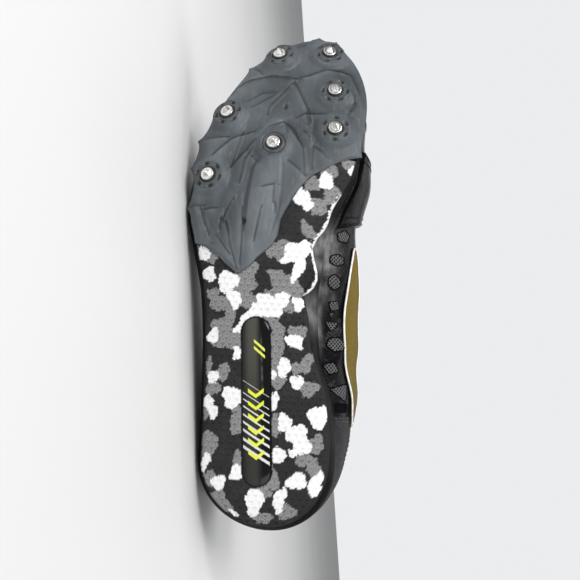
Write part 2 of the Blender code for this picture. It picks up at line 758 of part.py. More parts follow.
def pill_mesh(name, grow, height):
    """A flat pill with round ends, from z = 0 to its height."""
    radius = BADGE_WIDTH / 2 + grow
    straight_half = BADGE_LENGTH / 2 - BADGE_WIDTH / 2
    steps = 8
    ring = []
    for end in (1, -1):
        for i in range(steps + 1):
            bend = -pi / 2 + pi * i / steps
            ring.append((end * (straight_half + radius * cos(bend)), end * radius * sin(bend)))
    count = len(ring)
    points = [Vector((x, y, z)) for z in (0.0, height) for x, y in ring]
    faces = [tuple(range(count))[::-1], tuple(range(count, 2 * count))]
    for i in range(count):
        k = (i + 1) % count
        faces.append((i, k, count + k, count + i))
    return mesh_of(points, faces, name)


def make_badge(parts):
    """The domed pill let into the tread under the heel."""
    body = OUTSOLE_THICKNESS - GAP
    mesh = pill_mesh("heel_badge", -GAP / 2, body)
    work = bmesh.new()
    work.from_mesh(mesh)
    top = max(work.faces, key=lambda face: face.calc_center_median().z)
    for rise in (0.7, 0.3):
        bmesh.ops.inset_region(work, faces=[top], thickness=BADGE_ROUNDING,
                               depth=BADGE_DOME * rise)
    bmesh.ops.recalc_face_normals(work, faces=work.faces)
    work.to_mesh(mesh)
    work.free()
    item = add_object("heel_badge", mesh, parts, "badge")
    item.matrix_world = badge_frame(body)
    smooth(item)


def make_spikes(parts):
    """The screwed-in spikes: shank, flange and a blunt four-sided point."""
    top = GAP + FLANGE_THICKNESS
    rings = (
        # half width, height, square
        (SHANK_RADIUS, GAP - SHANK_LENGTH, False),
        (SHANK_RADIUS, GAP, False),
        (FLANGE_RADIUS, GAP, False),
        (FLANGE_RADIUS, GAP + 0.6 * FLANGE_THICKNESS, False),
        (0.84 * FLANGE_RADIUS, top, False),
        (0.5 * POINT_WIDTH, top, True),
        (0.5 * POINT_BLUNT * POINT_WIDTH, top + POINT_HEIGHT, True),
    )
    for name, _, _ in SPIKES:
        loops = []
        for half, z, square in rings:
            loop = []
            for i in range(SPIKE_SEGMENTS):
                bend = 2 * pi * (i + 0.5) / SPIKE_SEGMENTS
                reach = half / max(abs(cos(bend)), abs(sin(bend))) if square else half
                loop.append(Vector((reach * cos(bend), reach * sin(bend), z)))
            loops.append(loop)
        item = loft(name, loops, parts, "steel", cap_start=True, cap_end=True)
        item.matrix_world = aim(*spike_place(name), BOSS_HEIGHT)
        smooth(item, 30)


def make_insole(parts):
    """The sheet that lies on the turned-in edge of the upper."""
    rows = []
    for along in stations(0, 1, 20):
        low, high = feather(along, -1, INSOLE_INSET), feather(along, 1, INSOLE_INSET)
        row = []
        for i in range(7):
            point = low.lerp(high, i / 6)
            z = footbed_z(point.x, point.y) + WALL + 2 * GAP
            row.append((Vector((point.x, point.y, z)), Vector((0, 0, 1))))
        rows.append(row)
    item = sheet("insole", rows, INSOLE_THICKNESS, parts, "sheet")
    smooth(item)


# The upper and what lies on it

def upper_rows():
    """The upper's outer surface, a row for each station: points of the outer side from its turned
    edge up, points over the forefoot, and points of the inner side down to its turned edge."""
    rows = []
    corner = [COLLAR_FRONT + step for step in CORNER_STEPS]
    plain = [along for along in stations(0, 1, UPPER_STATIONS)
             if along < corner[0] - 0.008 or along > corner[-1] + 0.008]
    for along in sorted(plain + corner):
        sides = []
        for side in (-1, 1):
            points = [feather(along, side, LASTING_MARGIN)]
            points += [last_point(along, side, i / LOW_STEPS) for i in range(LOW_STEPS + 1)]
            end = opening_turn(along, side)
            for i in range(1, HIGH_STEPS + 1):
                points.append(last_point(along, side, 1 + (end - 1) * i / HIGH_STEPS))
            sides.append(points)
        middle = []
        if along >= THROAT_FRONT:
            for i in range(1, MIDDLE_STEPS):
                share = 2 * i / MIDDLE_STEPS - 1
                side = -1 if share < 0 else 1
                turn = 2 - (2 - opening_turn(along, side)) * abs(share)
                middle.append(last_point(along, side, turn))
        rows.append((sides[0], middle, sides[1][::-1]))
    return rows


def make_upper(parts):
    """The lasted shell, open at the collar, the throat and underneath."""
    rows = upper_rows()
    side_size = len(rows[0][0])
    points = []
    grid = []
    for outer, middle, inner in rows:
        line = []
        for group, size in ((outer, side_size), (middle, MIDDLE_STEPS - 1), (inner, side_size)):
            for i in range(size):
                if group:
                    line.append(len(points))
                    points.append(group[i])
                else:
                    line.append(None)
        grid.append(line)
    faces = []
    for low, high in zip(grid, grid[1:]):
        for j in range(len(low) - 1):
            corners = (low[j], low[j + 1], high[j + 1], high[j])
            if None not in corners:
                faces.append(corners)
    mesh = mesh_of(points, faces, "upper")
    crown = max(mesh.polygons, key=lambda face: face.center.x)
    if crown.normal.x < 0:
        mesh.flip_normals()
    item = add_object("upper", mesh, parts, "cloth")
    wall = item.modifiers.new("wall", "SOLIDIFY")
    wall.thickness = WALL
    wall.offset = -1
    smooth(item)


def make_tongue(parts):
    """The padded strip under the throat, standing up out of the collar."""
    rows = []
    depth = WALL + TONGUE_GAP
    front, back = THROAT_FRONT + TONGUE_FRONT, COLLAR_FRONT - TONGUE_BACK
    for i in range(15):
        share = i / 14
        along = front + (back - front) * share
        half = TONGUE_WIDTH / 2 * (TONGUE_TIP + (1 - TONGUE_TIP) * ease(0.0, 0.7, share))
        half *= 1 - (1 - TONGUE_TOP) * ease(0.7, 1.0, share)
        row = []
        for j in range(9):
            y = axis_y(along) + half * (j / 4 - 1)
            side, turn = top_turn(along, y)
            way = -last_normal(along, side, turn)
            row.append((last_point(along, side, turn) + way * depth, way))
        rows.append(row)
    item = sheet("tongue", rows, TONGUE_THICKNESS, parts, "cloth")
    smooth(item)


def throat_path(count):
    """The throat's edge in plan, from the collar on the outer side round to the inner side, as
    points with their outward directions."""
    start = (COLLAR_FRONT + EYESTAY_BACK) * SHOE_LENGTH
    round_half = throat_half_width(THROAT_FRONT)
    end = THROAT_FRONT * SHOE_LENGTH - 0.6 * round_half
    path = []
    run = [start + (end - start) * i / count for i in range(count)]
    for x in run:
        along = x / SHOE_LENGTH
        path.append((x, axis_y(along) - throat_half_width(along), 0.0, -1.0))
    middle = axis_y(THROAT_FRONT)
    for i in range(9):
        bend = -pi / 2 + pi * i / 8
        path.append((end + round_half * 1.15 * cos(bend), middle + round_half * sin(bend),
                     cos(bend), sin(bend)))
    for x in reversed(run):
        along = x / SHOE_LENGTH
        path.append((x, axis_y(along) + throat_half_width(along), 0.0, 1.0))
    return path


def make_eyestay(parts):
    """The reinforcement round the throat that the eyelets sit in."""
    rows = []
    for x, y, way_x, way_y in throat_path(9):
        row = []
        for j in range(4):
            reach = EYESTAY_LIP + (EYESTAY_WIDTH - EYESTAY_LIP) * j / 3
            place = (x + way_x * reach, y + way_y * reach)
            side, turn = top_turn(place[0] / SHOE_LENGTH, place[1])
            way = last_normal(place[0] / SHOE_LENGTH, side, turn)
            row.append((over_top(*place, GAP), way))
        rows.append(row)
    item = sheet("eyestay", rows, SKIN, parts, "film")
    smooth(item)


def eyelets():
    """Places of the eyelets in plan, a row at a time from the front: (x, outer y, inner y)."""
    front, back = THROAT_FRONT - EYELET_FRONT, COLLAR_FRONT + EYELET_BACK
    rows = []
    for i in range(EYELET_ROWS):
        along = front + (back - front) * i / (EYELET_ROWS - 1)
        reach = throat_half_width(along) + 0.5 * EYESTAY_WIDTH
        rows.append((along * SHOE_LENGTH, axis_y(along) - reach, axis_y(along) + reach))
    return rows


def lace_strip(name, start, end, collection, finish_name=None):
    """A flat strip of lace over the throat, between two places in plan."""
    lift = GAP + SKIN + LACE_GAP
    run = (Vector(end) - Vector(start)).normalized()
    side_way = Vector((-run.y, run.x))
    rows = []
    steps = 6
    for i in range(steps + 1):
        centre = Vector(start).lerp(Vector(end), i / steps)
        row = []
        for share in (-0.5, 0.5):
            place = centre + side_way * LACE_WIDTH * share
            row.append((over_top(place.x, place.y, lift), Vector((0, 0, 1))))
        rows.append(row)
    return sheet(name, rows, LACE_THICKNESS, collection, finish_name)


def make_lace(parts, cutters):
    """The lace's crossings, joined where they cross."""
    rows = eyelets()
    item = lace_strip("lace", rows[0][:2], (rows[0][0], rows[0][2]), parts, "cord")
    for index, (low, high) in enumerate(zip(rows, rows[1:])):
        for way, start, end in (("inwards", 1, 2), ("outwards", 2, 1)):
            strip = lace_strip(f"crossing_{index}_{way}", (low[0], low[start]),
                               (high[0], high[end]), cutters)
            boolean(item, strip, "UNION", f"crossing {index} {way}")


def make_gold_panel(parts):
    """The lens on the inner quarter."""
    rows = []
    for i in range(13):
        share = i / 12
        along = PANEL_SPAN[0] + (PANEL_SPAN[1] - PANEL_SPAN[0]) * share
        centre = PANEL_TURNS[0] + (PANEL_TURNS[1] - PANEL_TURNS[0]) * share
        centre += PANEL_BOW * 4 * share * (1 - share)
        full = sqrt(max(0.0, 1 - (2 * share - 1) ** 2))
        half = PANEL_HALF_WIDTH * (PANEL_TIP + (1 - PANEL_TIP) * full)
        row = []
        for j in range(9):
            turn = centre + half * (j / 4 - 1)
            row.append((over_last(along, 1, turn, PANEL_LIFT), last_normal(along, 1, turn)))
        rows.append(row)
    smooth(sheet("gold_panel", rows, SKIN, parts, "gold"))


def make_strap(parts):
    """The gloss strap over the inner side of the ball."""
    rows = []
    for i in range(11):
        share = i / 10
        row = []
        for j in range(8):
            turn = STRAP_TURNS[0] + (STRAP_TURNS[1] - STRAP_TURNS[0]) * j / 7
            start = STRAP_SPAN[0] + STRAP_LEAN * turn
            along = start + (STRAP_SPAN[1] - STRAP_SPAN[0] - STRAP_TAPER * turn) * share
            row.append((over_last(along, 1, turn, STRAP_LIFT), last_normal(along, 1, turn)))
        rows.append(row)
    smooth(sheet("forefoot_strap", rows, STRAP_THICKNESS, parts, "film"))


# Laying the shoe down

def closed_volume(mesh, matrix):
    """A closed mesh's volume, and the sum of its parts' volumes times their places."""
    work = bmesh.new()
    work.from_mesh(mesh)
    work.transform(matrix)
    bmesh.ops.triangulate(work, faces=work.faces)
    volume, moment = 0.0, Vector()
    for face in work.faces:
        a, b, c = (vert.co for vert in face.verts)
        share = a.dot(b.cross(c)) / 6
        volume += share
        moment += (a + b + c) / 4 * share
    work.free()
    return volume, moment


def resting_turn(items):
    """The turn that lays the shoe on its outer side, on the face of its hull that it rests on."""
    graph = bpy.context.evaluated_depsgraph_get()
    cloud = bmesh.new()
    mass, moment = 0.0, Vector()
    for item in items:
        solid = bpy.data.meshes.new_from_object(item.evaluated_get(graph))
        density = FINISHES[solid.materials[0].name][-1]
        volume, volume_moment = closed_volume(solid, item.matrix_world)
        mass += volume * density
        moment += volume_moment * density
        for vert in solid.vertices:
            cloud.verts.new(item.matrix_world @ vert.co)
        bpy.data.meshes.remove(solid)
    centre = moment / mass
    bmesh.ops.convex_hull(cloud, input=cloud.verts)
    corners = np.array([vert.co for vert in cloud.verts if vert.link_faces])
    outward = []
    for face in cloud.faces:
        point = face.verts[0].co.copy()
        normal = face.normal if face.normal.dot(point - centre) > 0 else -face.normal
        if max(corners @ np.array(normal)) < normal.dot(point) + HULL_TOLERANCE:
            outward.append((normal.copy(), point))
    cloud.free()
    way = Vector((0, -1, 0))
    for _ in range(40):
        ahead = [(normal, normal.dot(point - centre) / normal.dot(way))
                 for normal, point in outward if normal.dot(way) > 1e-6]
        normal = min(ahead, key=lambda entry: entry[1])[0]
        if normal.dot(way) > 0.9999999:
            break
        way = normal
    up = -way
    ahead = Vector((-1, 0, 0))
    right = (ahead - up * up.dot(ahead)).normalized()
    return Matrix((right, up.cross(right), up))


def placing_of(items, turn):
    """The turn, and the shift that sets the box's middle over the origin and its bottom at 0."""
    graph = bpy.context.evaluated_depsgraph_get()
    matrix = turn.to_4x4()
    corners = []
    for item in items:
        solid = bpy.data.meshes.new_from_object(item.evaluated_get(graph))
        corners += [matrix @ item.matrix_world @ vert.co for vert in solid.vertices]
        bpy.data.meshes.remove(solid)
    low, high = ([pick(point[i] for point in corners) for i in range(3)] for pick in (min, max))
    shift = Matrix.Translation((-(low[0] + high[0]) / 2, -(low[1] + high[1]) / 2, -low[2]))
    return shift @ matrix


def main():
    for item in list(bpy.data.objects):
        bpy.data.objects.remove(item)
    parts = bpy.data.collections.new("sprint_spike_shoe")
    cutters = bpy.data.collections.new("cutters")
    for collection in (parts, cutters):
        bpy.context.scene.collection.children.link(collection)
    make_midsole(parts)
    make_plate(parts, cutters)
    make_outsole(parts, cutters)
    make_badge(parts)
    make_spikes(parts)
    make_insole(parts)
    make_upper(parts)
    make_tongue(parts)
    make_eyestay(parts)
    make_lace(parts, cutters)
    make_gold_panel(parts)
    make_strap(parts)
    bpy.context.view_layer.update()
    items = list(parts.objects)
    placing = placing_of(items, resting_turn(items))
    for item in items + list(cutters.objects):
        item.matrix_world = placing @ item.matrix_world


main()
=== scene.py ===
"""The looks of a sprint spike for the right foot, which lies on its outer side.

The shoe is worked out standing, as its solids are: +X from the heel to the toe, +Y to the inner
side of the foot and +Z up from the ground. placed() lays it down. Lengths are metres.
"""
from math import cos, pi, radians, sin

import bmesh
import bpy
import numpy as np
from mathutils import Matrix, Vector


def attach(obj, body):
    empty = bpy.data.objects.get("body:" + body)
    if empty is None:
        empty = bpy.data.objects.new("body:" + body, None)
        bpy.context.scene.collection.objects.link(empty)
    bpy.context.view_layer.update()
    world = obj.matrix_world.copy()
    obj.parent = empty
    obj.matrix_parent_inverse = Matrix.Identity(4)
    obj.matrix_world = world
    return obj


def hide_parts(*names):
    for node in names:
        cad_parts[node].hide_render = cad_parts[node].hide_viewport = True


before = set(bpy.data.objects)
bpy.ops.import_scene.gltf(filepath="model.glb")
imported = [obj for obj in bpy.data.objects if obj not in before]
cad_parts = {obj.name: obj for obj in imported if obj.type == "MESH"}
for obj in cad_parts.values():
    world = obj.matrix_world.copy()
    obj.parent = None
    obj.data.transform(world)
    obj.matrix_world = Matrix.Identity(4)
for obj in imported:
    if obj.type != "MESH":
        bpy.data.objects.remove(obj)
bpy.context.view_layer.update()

# How the standing shoe lies in the frame
HEEL_PLACE = np.array((0.136977538, -0.042898964, 0.035356313))
TURN = np.array((
    (-0.992544889, 0.0, 0.12187928),           # the toe's way
    (0.12181817, -0.031663623, 0.99204731),    # the inner side's way
    (0.00385914, 0.999498606, 0.03142757),     # the standing shoe's up
))

# The camera, in the standing shoe's frame
EYE = (0.07928895, 0.04277523, -0.35576319)
EYE_FORWARD = (0.16504761, 0.06879981, 0.98388306)
EYE_RIGHT = (0.03442087, 0.99655456, -0.07546003)
EYE_UP = (0.98568478, -0.04632061, -0.16211079)
EYE_LENS = 42.2
AIM_RIGHT = -0.176         # tangents that turn the camera to the middle of the shoe
AIM_UP = -0.036

# Driving dimensions, as in the solids
SHOE_LENGTH = 0.280
BALL_WIDTH = 0.0925
INSTEP_HEIGHT = 0.070
HEEL_HEIGHT = 0.068
ANKLE_HEIGHT = 0.053
TOE_SPRING = 0.031
HEEL_STACK = 0.0135
TOE_STACK = 0.0065
OUTSOLE_THICKNESS = 0.0028
PLATE_PROUD = 0.0014
WALL = 0.0016
LASTING_MARGIN = 0.007
TONGUE_THICKNESS = 0.0026
SKIN = 0.0008
STRAP_THICKNESS = 0.0022
STRAP_LIFT = 0.0008
PANEL_LIFT = 0.0005
GAP = 0.0003
LAYER_GAP = 0.0005
TONGUE_GAP = 0.0010
MIDSOLE_FLARE = 0.0032
MIDSOLE_INSET = 0.0006
MIDSOLE_BULGE = 0.0004
HEEL_CAMBER = 0.0012
BALL_CAMBER = 0.0036
HEEL_BEVEL = 0.0022
PLATE_LIP = 0.0006
FLANGE_RADIUS = 0.0037
FLANGE_THICKNESS = 0.0011
POINT_WIDTH = 0.0034
POINT_HEIGHT = 0.0026
POINT_BLUNT = 0.45
BOSS_HEIGHT = 0.0026
THROAT_WIDTH = 0.019
THROAT_TAPER = 0.22
THROAT_FRONT = 0.69
COLLAR_FRONT = 0.385
THROAT_BACK = 0.25
TONGUE_WIDTH = 0.038
TONGUE_TIP = 0.72
TONGUE_TOP = 0.78
TONGUE_FRONT = 0.045
TONGUE_BACK = 0.075
EYESTAY_WIDTH = 0.013
EYESTAY_LIP = 0.0010
EYESTAY_BACK = 0.015
EYELET_ROWS = 6
EYELET_FRONT = 0.035
EYELET_BACK = 0.028
LACE_WIDTH = 0.0050
LACE_THICKNESS = 0.0012
LACE_GAP = 0.0007
BADGE_LENGTH = 0.087
BADGE_WIDTH = 0.0148
BADGE_DOME = 0.0011
BADGE_TURN = radians(-4.3)
BADGE_ALONG = 0.229
BADGE_ACROSS = -0.092

SOLE_OUTLINE = (
    # along, outer, inner
    (0.00, 0.388, 0.335),
    (0.14, 0.390, 0.335),
    (0.24, 0.400, 0.297),
    (0.33, 0.413, 0.208),
    (0.43, 0.445, 0.182),
    (0.53, 0.522, 0.205),
    (0.60, 0.568, 0.270),
    (0.68, 0.566, 0.378),
    (0.77, 0.523, 0.426),
    (0.87, 0.492, 0.455),
    (1.00, 0.471, 0.465),
)
TOE_OFFSET = 0.080
HEEL_ROUND = 0.121
OUTER_TOE_ROUND = 0.270
INNER_TOE_ROUND = 0.215
OUTER_TOE_POWER = 1.75
SPRING_START = 0.465
CAMBER_REACH = 0.17
DISH_REACH = 0.45
DISH_SHARE = 0.8
TREAD_END = 0.706
LATTICE_ALONG = 0.0032     # pitch of the tread's lugs
LATTICE_ACROSS = 0.0038
RUBBER_TONE = 0.012        # bare black rubber

PLATE_REAR = (
    # along, outer cut, inner cut
    (0.4650, -0.248, -0.248),
    (0.4820, -0.318, -0.180),
    (0.5000, -0.378, -0.140),
    (0.5195, -0.475, -0.075),
    (0.5240, -0.535, -0.060),
    (0.5440, -0.560, -0.030),
    (0.5760, -0.560, -0.020),
    (0.6150, -0.570, 0.033),
    (0.6410, -0.570, 0.075),
    (0.6680, -0.570, 0.144),
    (0.6990, -0.570, 0.297),
    (0.7180, -0.570, 0.425),
)
TOOTH_LENGTH = 0.0036
TOOTH_REACH = 0.0038
PLATE_TEETH = (
    # along, side, size
    (0.596, -1, 0.9),
    (0.680, -1, 1.0),
    (0.741, -1, 1.1),
    (0.803, -1, 0.8),
    (0.918, -1, 1.0),
    (0.958, -1, 1.0),
    (0.972, -1, 1.2),
    (0.9995, 1, 1.0),
    (0.985, 1, 1.3),
    (0.718, 1, 0.6),
)
SPIKES = (
    # name, along, across, turn of the boss's notches or None
    ("spike_toe_outer", 0.943, -0.120, 20),
    ("spike_toe_inner", 0.950, 0.190, 50),
    ("spike_front_inner", 0.854, 0.245, 30),
    ("spike_front_outer", 0.798, -0.400, 40),
    ("spike_ball_inner", 0.766, 0.262, 0),
    ("spike_centre", 0.731, -0.100, None),
    ("spike_ball_outer", 0.659, -0.470, 15),
)
LAST_SECTIONS = (
    # along, crown, widest, outer bulge, inner bulge, shoulder
    (0.00, 1.45, 0.30, 0.010, 0.012, 0.96),
    (0.10, 1.42, 0.31, 0.012, 0.036, 0.96),
    (0.19, 1.33, 0.32, 0.016, 0.090, 0.97),
    (0.28, 1.17, 0.33, 0.020, 0.172, 1.00),
    (0.36, 1.02, 0.33, 0.022, 0.236, 1.02),
    (0.44, 0.875, 0.32, 0.020, 0.240, 1.00),
    (0.52, 0.765, 0.28, 0.012, 0.200, 0.96),
    (0.60, 0.675, 0.23, 0.004, 0.110, 0.92),
    (0.68, 0.595, 0.19, 0.000, 0.060, 0.88),
    (0.77, 0.500, 0.15, -0.002, 0.014, 0.84),
    (0.87, 0.395, 0.13, -0.002, -0.002, 0.82),
    (0.94, 0.315, 0.12, -0.004, -0.004, 0.80),
    (0.98, 0.240, 0.11, -0.006, -0.006, 0.80),
    (1.00, 0.160, 0.08, -0.008, -0.008, 0.80),
)
COLLAR_LINE = (
    # along, height
    (0.00, 1.00),
    (0.04, 0.93),
    (0.10, 0.42),
    (0.17, 0.06),
    (0.23, 0.00),
    (0.29, 0.22),
    (0.34, 0.70),
    (0.40, 1.60),
    (0.46, 2.60),
)
HEEL_LEAN = 0.0075
HEEL_SWELL = 0.0022
HEEL_REACH = 0.16
SWELL_TOP = 0.42
LEAN_SPAN = (0.25, 0.62)
WALL_STRAIGHT = 0.45
PANEL_SPAN = (0.20, 0.545)
PANEL_TURNS = (0.76, 0.72)
PANEL_HALF_WIDTH = 0.18
PANEL_BOW = -0.14
PANEL_TIP = 0.10
STRAP_SPAN = (0.575, 0.740)
STRAP_LEAN = 0.020
STRAP_TAPER = 0.030
STRAP_TURNS = (0.10, 1.30)

# Moulded lines of the plate, in millimetres along and to the inner side
PLATE_LINES = (
    ("ridge", ((248.0, -0.2), (250.0, -13.9), (246.8, -26.9), (244.2, -33.2))),
    ("ridge", ((248.0, -0.2), (249.5, 5.6), (254.8, 17.1), (252.5, 29.3))),
    ("ridge", ((245.3, -0.8), (229.4, -13.4), (223.5, -14.4))),
    ("ridge", ((245.3, -0.8), (227.1, 8.3), (215.7, 10.8))),
    ("leaf", ((232.4, -26.8), (238.1, -19.2), (238.8, -9.4))),
    ("leaf", ((228.7, -23.9), (237.8, -10.1))),
    ("ridge", ((218.9, -4.6), (215.0, -12.7), (206.2, -19.1), (195.0, -24.3), (181.0, -26.0))),
    ("ridge", ((218.9, -4.6), (213.2, 2.0), (202.5, 7.7), (186.6, 9.7))),
    ("groove", ((217.5, -3.2), (209.2, -1.7))),
    ("groove", ((215.8, -1.5), (204.2, 6.8))),
    ("facet", ((197.3, -43.4), (207.1, -32.7), (212.6, -19.7))),
    ("facet", ((212.1, -26.9), (195.5, -29.8), (190.1, -31.6))),
    ("facet", ((190.1, -31.6), (200.4, -23.3), (208.0, -19.3))),
    ("facet", ((207.6, -51.8), (208.8, -34.5))),
    ("facet", ((166.9, -52.9), (167.4, -44.6))),
    ("facet", ((172.4, -28.2), (163.9, -32.0), (155.7, -34.3))),
    ("facet", ((164.9, -45.1), (166.1, -36.8))),
    ("facet", ((204.6, 13.2), (197.9, 20.9))),
    ("facet", ((204.6, 13.2), (190.3, 13.4))),
    ("facet", ((195.6, -0.6), (186.6, 9.7))),
    ("facet", ((221.8, 2.1), (224.1, 7.7), (224.9, 19.1))),
    ("facet", ((224.1, 7.7), (215.6, 10.0))),
    ("facet", ((254.1, 21.5), (251.6, 31.0), (239.3, 36.7))),
    ("facet", ((233.0, 34.5), (224.8, 30.8))),
    ("facet", ((158.8, -31.5), (146.9, -28.2), (133.1, -23.3))),
    ("facet", ((167.4, -23.1), (153.7, -21.9), (135.5, -21.9))),
    ("facet", ((168.0, -12.4), (148.4, -15.4))),
    ("ridge", ((213.5, 6.9), (210.0, 10.4))),
    ("groove", ((162.0, -22.6), (154.0, -21.2))),
    ("groove", ((170.4, -5.4), (164.6, -4.7))),
    ("facet", ((163.3, -44.2), (150.6, -39.9))),
    ("facet", ((160.7, -31.7), (151.2, -28.6))),
    ("facet", ((160.6, -34.0), (154.1, -34.1))),
    ("facet", ((245.0, 28.8), (237.0, 33.5), (231.0, 34.6), (224.9, 31.6))),
    ("facet", ((198.7, -22.3), (194.5, -17.9))),
    ("facet", ((218.3, -5.7), (213.2, -11.7), (210.2, -13.9))),
    ("facet", ((166.2, -46.0), (155.8, -42.6))),
    ("facet", ((151.3, -36.2), (140.7, -27.7))),
    ("facet", ((239.6, -38.4), (244.4, -31.6))),
    ("groove", ((256.8, -24.8), (250.6, -19.8))),
    ("facet", ((272.9, 15.0), (266.8, 12.0))),
    ("facet", ((271.3, -2.3), (274.1, 2.6))),
    ("facet", ((179.2, -13.3), (180.4, -6.4), (170.3, -6.4))),
)
LINE_FORMS = {
    # height, reach on the gentle side, reach on the steep side, and strength of the painted shade
    # along the line
    "ridge": (1.5, 5.5, 0.9, 0.65),
    "facet": (1.1, 4.5, 0.7, 0.62),
    "groove": (-0.5, 0.7, 0.7, 0.6),
    "leaf": (-0.9, 1.5, 1.5, 0.45),
}
PLATE_PITS = (
    # along, inner, radius
    (229.0, -4.7, 1.7),
    (158.7, -33.8, 1.7),
    (159.3, -21.6, 1.7),
)
KEEL_EDGES = (
    # along, outer edge, inner edge
    (150.0, -21.6, -8.0),
    (163.8, -21.2, -4.3),
    (178.1, -20.4, -3.1),
    (190.1, -19.0, -3.6),
    (197.4, -15.0, -4.4),
)

# Patches of the tread's camouflage by tone, laid one over the other: middle in millimetres along
# and to the inner side, length, width, and turn in degrees
CAMOUFLAGE = {
    "grey": (
        (143, -47, 5, 4, 0), (139, -38, 7, 7, 0), (144, -2, 12, 13, -40), (133, -16, 9, 9, -40),
        (126, -19, 15, 13, 10), (116, -17, 9, 13, 0), (129, 0, 10, 17, 10), (124, 7, 10, 13, 20),
        (121, -4, 8, 12, -30), (119, -36, 7, 7, 0), (114, -30, 8, 14, 0), (109, -25, 10, 7, 0),
        (102, -29, 11, 12, 0), (95, -24, 10, 13, 0), (94, -31, 7, 9, 0), (106, -7, 6, 13, 0),
        (104, 1, 8, 8, 0), (95, 0, 15, 10, 0), (85, 0, 12, 9, 0), (101, 11, 8, 11, -10),
        (114, 6, 7, 9, -30), (85, 17, 11, 6, 10), (82, 12, 7, 7, 0), (75, 2, 8, 9, 0),
        (72, 19, 8, 11, -20), (78, -27, 10, 7, 15), (69, -32, 7, 9, -30), (56, -35, 7, 4, 0),
        (81, -35, 10, 3, 0), (190, 23, 7, 9, -20), (196, 34, 6, 10, -20), (182, 14, 9, 9, -35),
        (177, 25, 11, 10, 0), (170, 17, 9, 9, 0), (156, 13, 13, 6, -40), (168, 18, 7, 8, 0),
        (53, -18, 15, 7, 0), (39, -32, 18, 8, 5), (34, -16, 8, 5, 0), (23, -30, 9, 6, -20),
        (13, -25, 10, 9, -30), (9, -20, 6, 6, 0), (24, -6, 8, 11, 10), (25, 1, 13, 11, -20),
        (18, -2, 5, 9, 0), (52, 2, 12, 6, 0), (36, 19, 7, 12, 0), (44, 24, 11, 7, 10),
        (31, 24, 6, 8, 0), (9, 11, 8, 9, -20), (5, -1, 6, 11, 0),
    ),
    "dark": (
        (128, -9, 13, 8, -35), (137, -7, 7, 10, 0), (135, 4, 6, 9, 0), (109, -20, 8, 6, 30),
        (107, 7, 7, 14, 10), (131, 13, 12, 5, 5),
    ),
    "white": (
        (141, -43, 9, 8, 25), (130, -39, 8, 8, 0), (126, -28, 12, 11, 10), (117, -24, 11, 7, -20),
        (113, -6, 11, 17, 0), (118, 2, 8, 8, -20), (118, -8, 5, 8, 0), (107, -14, 8, 13, -38),
        (102, -19, 5, 10, -38), (116, 10, 8, 5, -20), (144, 6, 10, 11, 0), (146, 12, 10, 8, 20),
        (135, 9, 15, 6, 15), (139, 2, 5, 5, -20), (184, 21, 10, 8, 0), (175, 8, 11, 9, -30),
        (170, 12, 6, 6, 0), (192, 36, 8, 5, 20), (97, -34, 9, 6, 15), (96, 10, 7, 10, 25),
        (88, -20, 7, 6, -20), (75, -32, 7, 6, 20), (65, -21, 11, 11, 0), (82, 5, 10, 7, 10),
        (78, -1, 4, 5, 20), (75, 12, 7, 8, 10), (62, -34, 6, 6, 0), (57, -31, 8, 6, -10),
        (64, 1, 11, 4, 10), (58, 24, 12, 10, 0), (54, 7, 9, 7, -10), (48, 14, 11, 11, -30),
        (43, 17, 10, 10, -20), (39, 13, 4, 6, 0), (37, 5, 8, 8, 0), (27, -16, 8, 8, 0),
        (21, -25, 7, 8, -30), (31, -33, 10, 4, 10), (13, -6, 14, 9, 5), (15, 7, 13, 6, 10),
        (25, 15, 8, 11, -15), (24, 25, 13, 7, 15), (6, -16, 2, 6, 30),
    ),
}
TONES = {"white": 0.80, "grey": 0.23, "dark": 0.019}

# The tread's inner edge at the waist
WAIST_EDGE = (
    # along, inner in metres
    (0.326, 0.0185),
    (0.342, 0.0176),
    (0.366, 0.0170),
    (0.391, 0.0158),
    (0.420, 0.0136),
    (0.431, 0.0128),
    (0.437, 0.0152),
    (0.4475, 0.0178),
    (0.463, 0.0195),
    (0.480, 0.0191),
    (0.496, 0.0178),
    (0.510, 0.0166),
    (0.524, 0.0160),
    (0.543, 0.0180),
    (0.560, 0.0214),
    (0.575, 0.0233),
    (0.600, 0.0249),
)
LEAF_PLACE = (131.0, 14.7)     # the recess inside the waist's edge, in millimetres
LEAF_HALVES = (9.2, 2.5)
LEAF_TURN = 0.2


# The shoe's surfaces, for whole arrays of places at once

CURVES = {}


def column(rows, index, along):
    """The value of one column at shares of the length, on a smooth curve through the rows."""
    key = (id(rows), index)
    if key not in CURVES:
        places = np.array([row[0] for row in rows])
        values = np.array([row[index] for row in rows])
        spans = np.diff(places)
        slopes = np.diff(values) / spans
        product, total = slopes[1:] * slopes[:-1], slopes[1:] + slopes[:-1]
        inner = np.where(product > 0, 2 * product / np.where(total == 0, 1, total), 0)
        tangents = np.concatenate((slopes[:1], inner, slopes[-1:]))
        fine = np.linspace(places[0], places[-1], 4001)
        slot = np.clip(np.searchsorted(places, fine, side="right") - 1, 0, len(spans) - 1)
        span = spans[slot]
        share = (fine - places[slot]) / span
        rest = 1 - share
        curve = values[slot] * (1 + 2 * share) * rest ** 2
        curve += values[slot + 1] * share ** 2 * (3 - 2 * share)
        curve += tangents[slot] * span * share * rest ** 2
        curve -= tangents[slot + 1] * span * share ** 2 * rest
        CURVES[key] = (fine, curve)
    return np.interp(along, *CURVES[key])


def by_side(rows, index, along, side):
    """The value of an outer side's column, or of the next one on the inner side."""
    return np.where(side < 0, column(rows, index, along), column(rows, index + 1, along))


def straight(rows, index, along):
    """The value of one column on straight lines through the rows."""
    return np.interp(along, [row[0] for row in rows], [row[index] for row in rows])


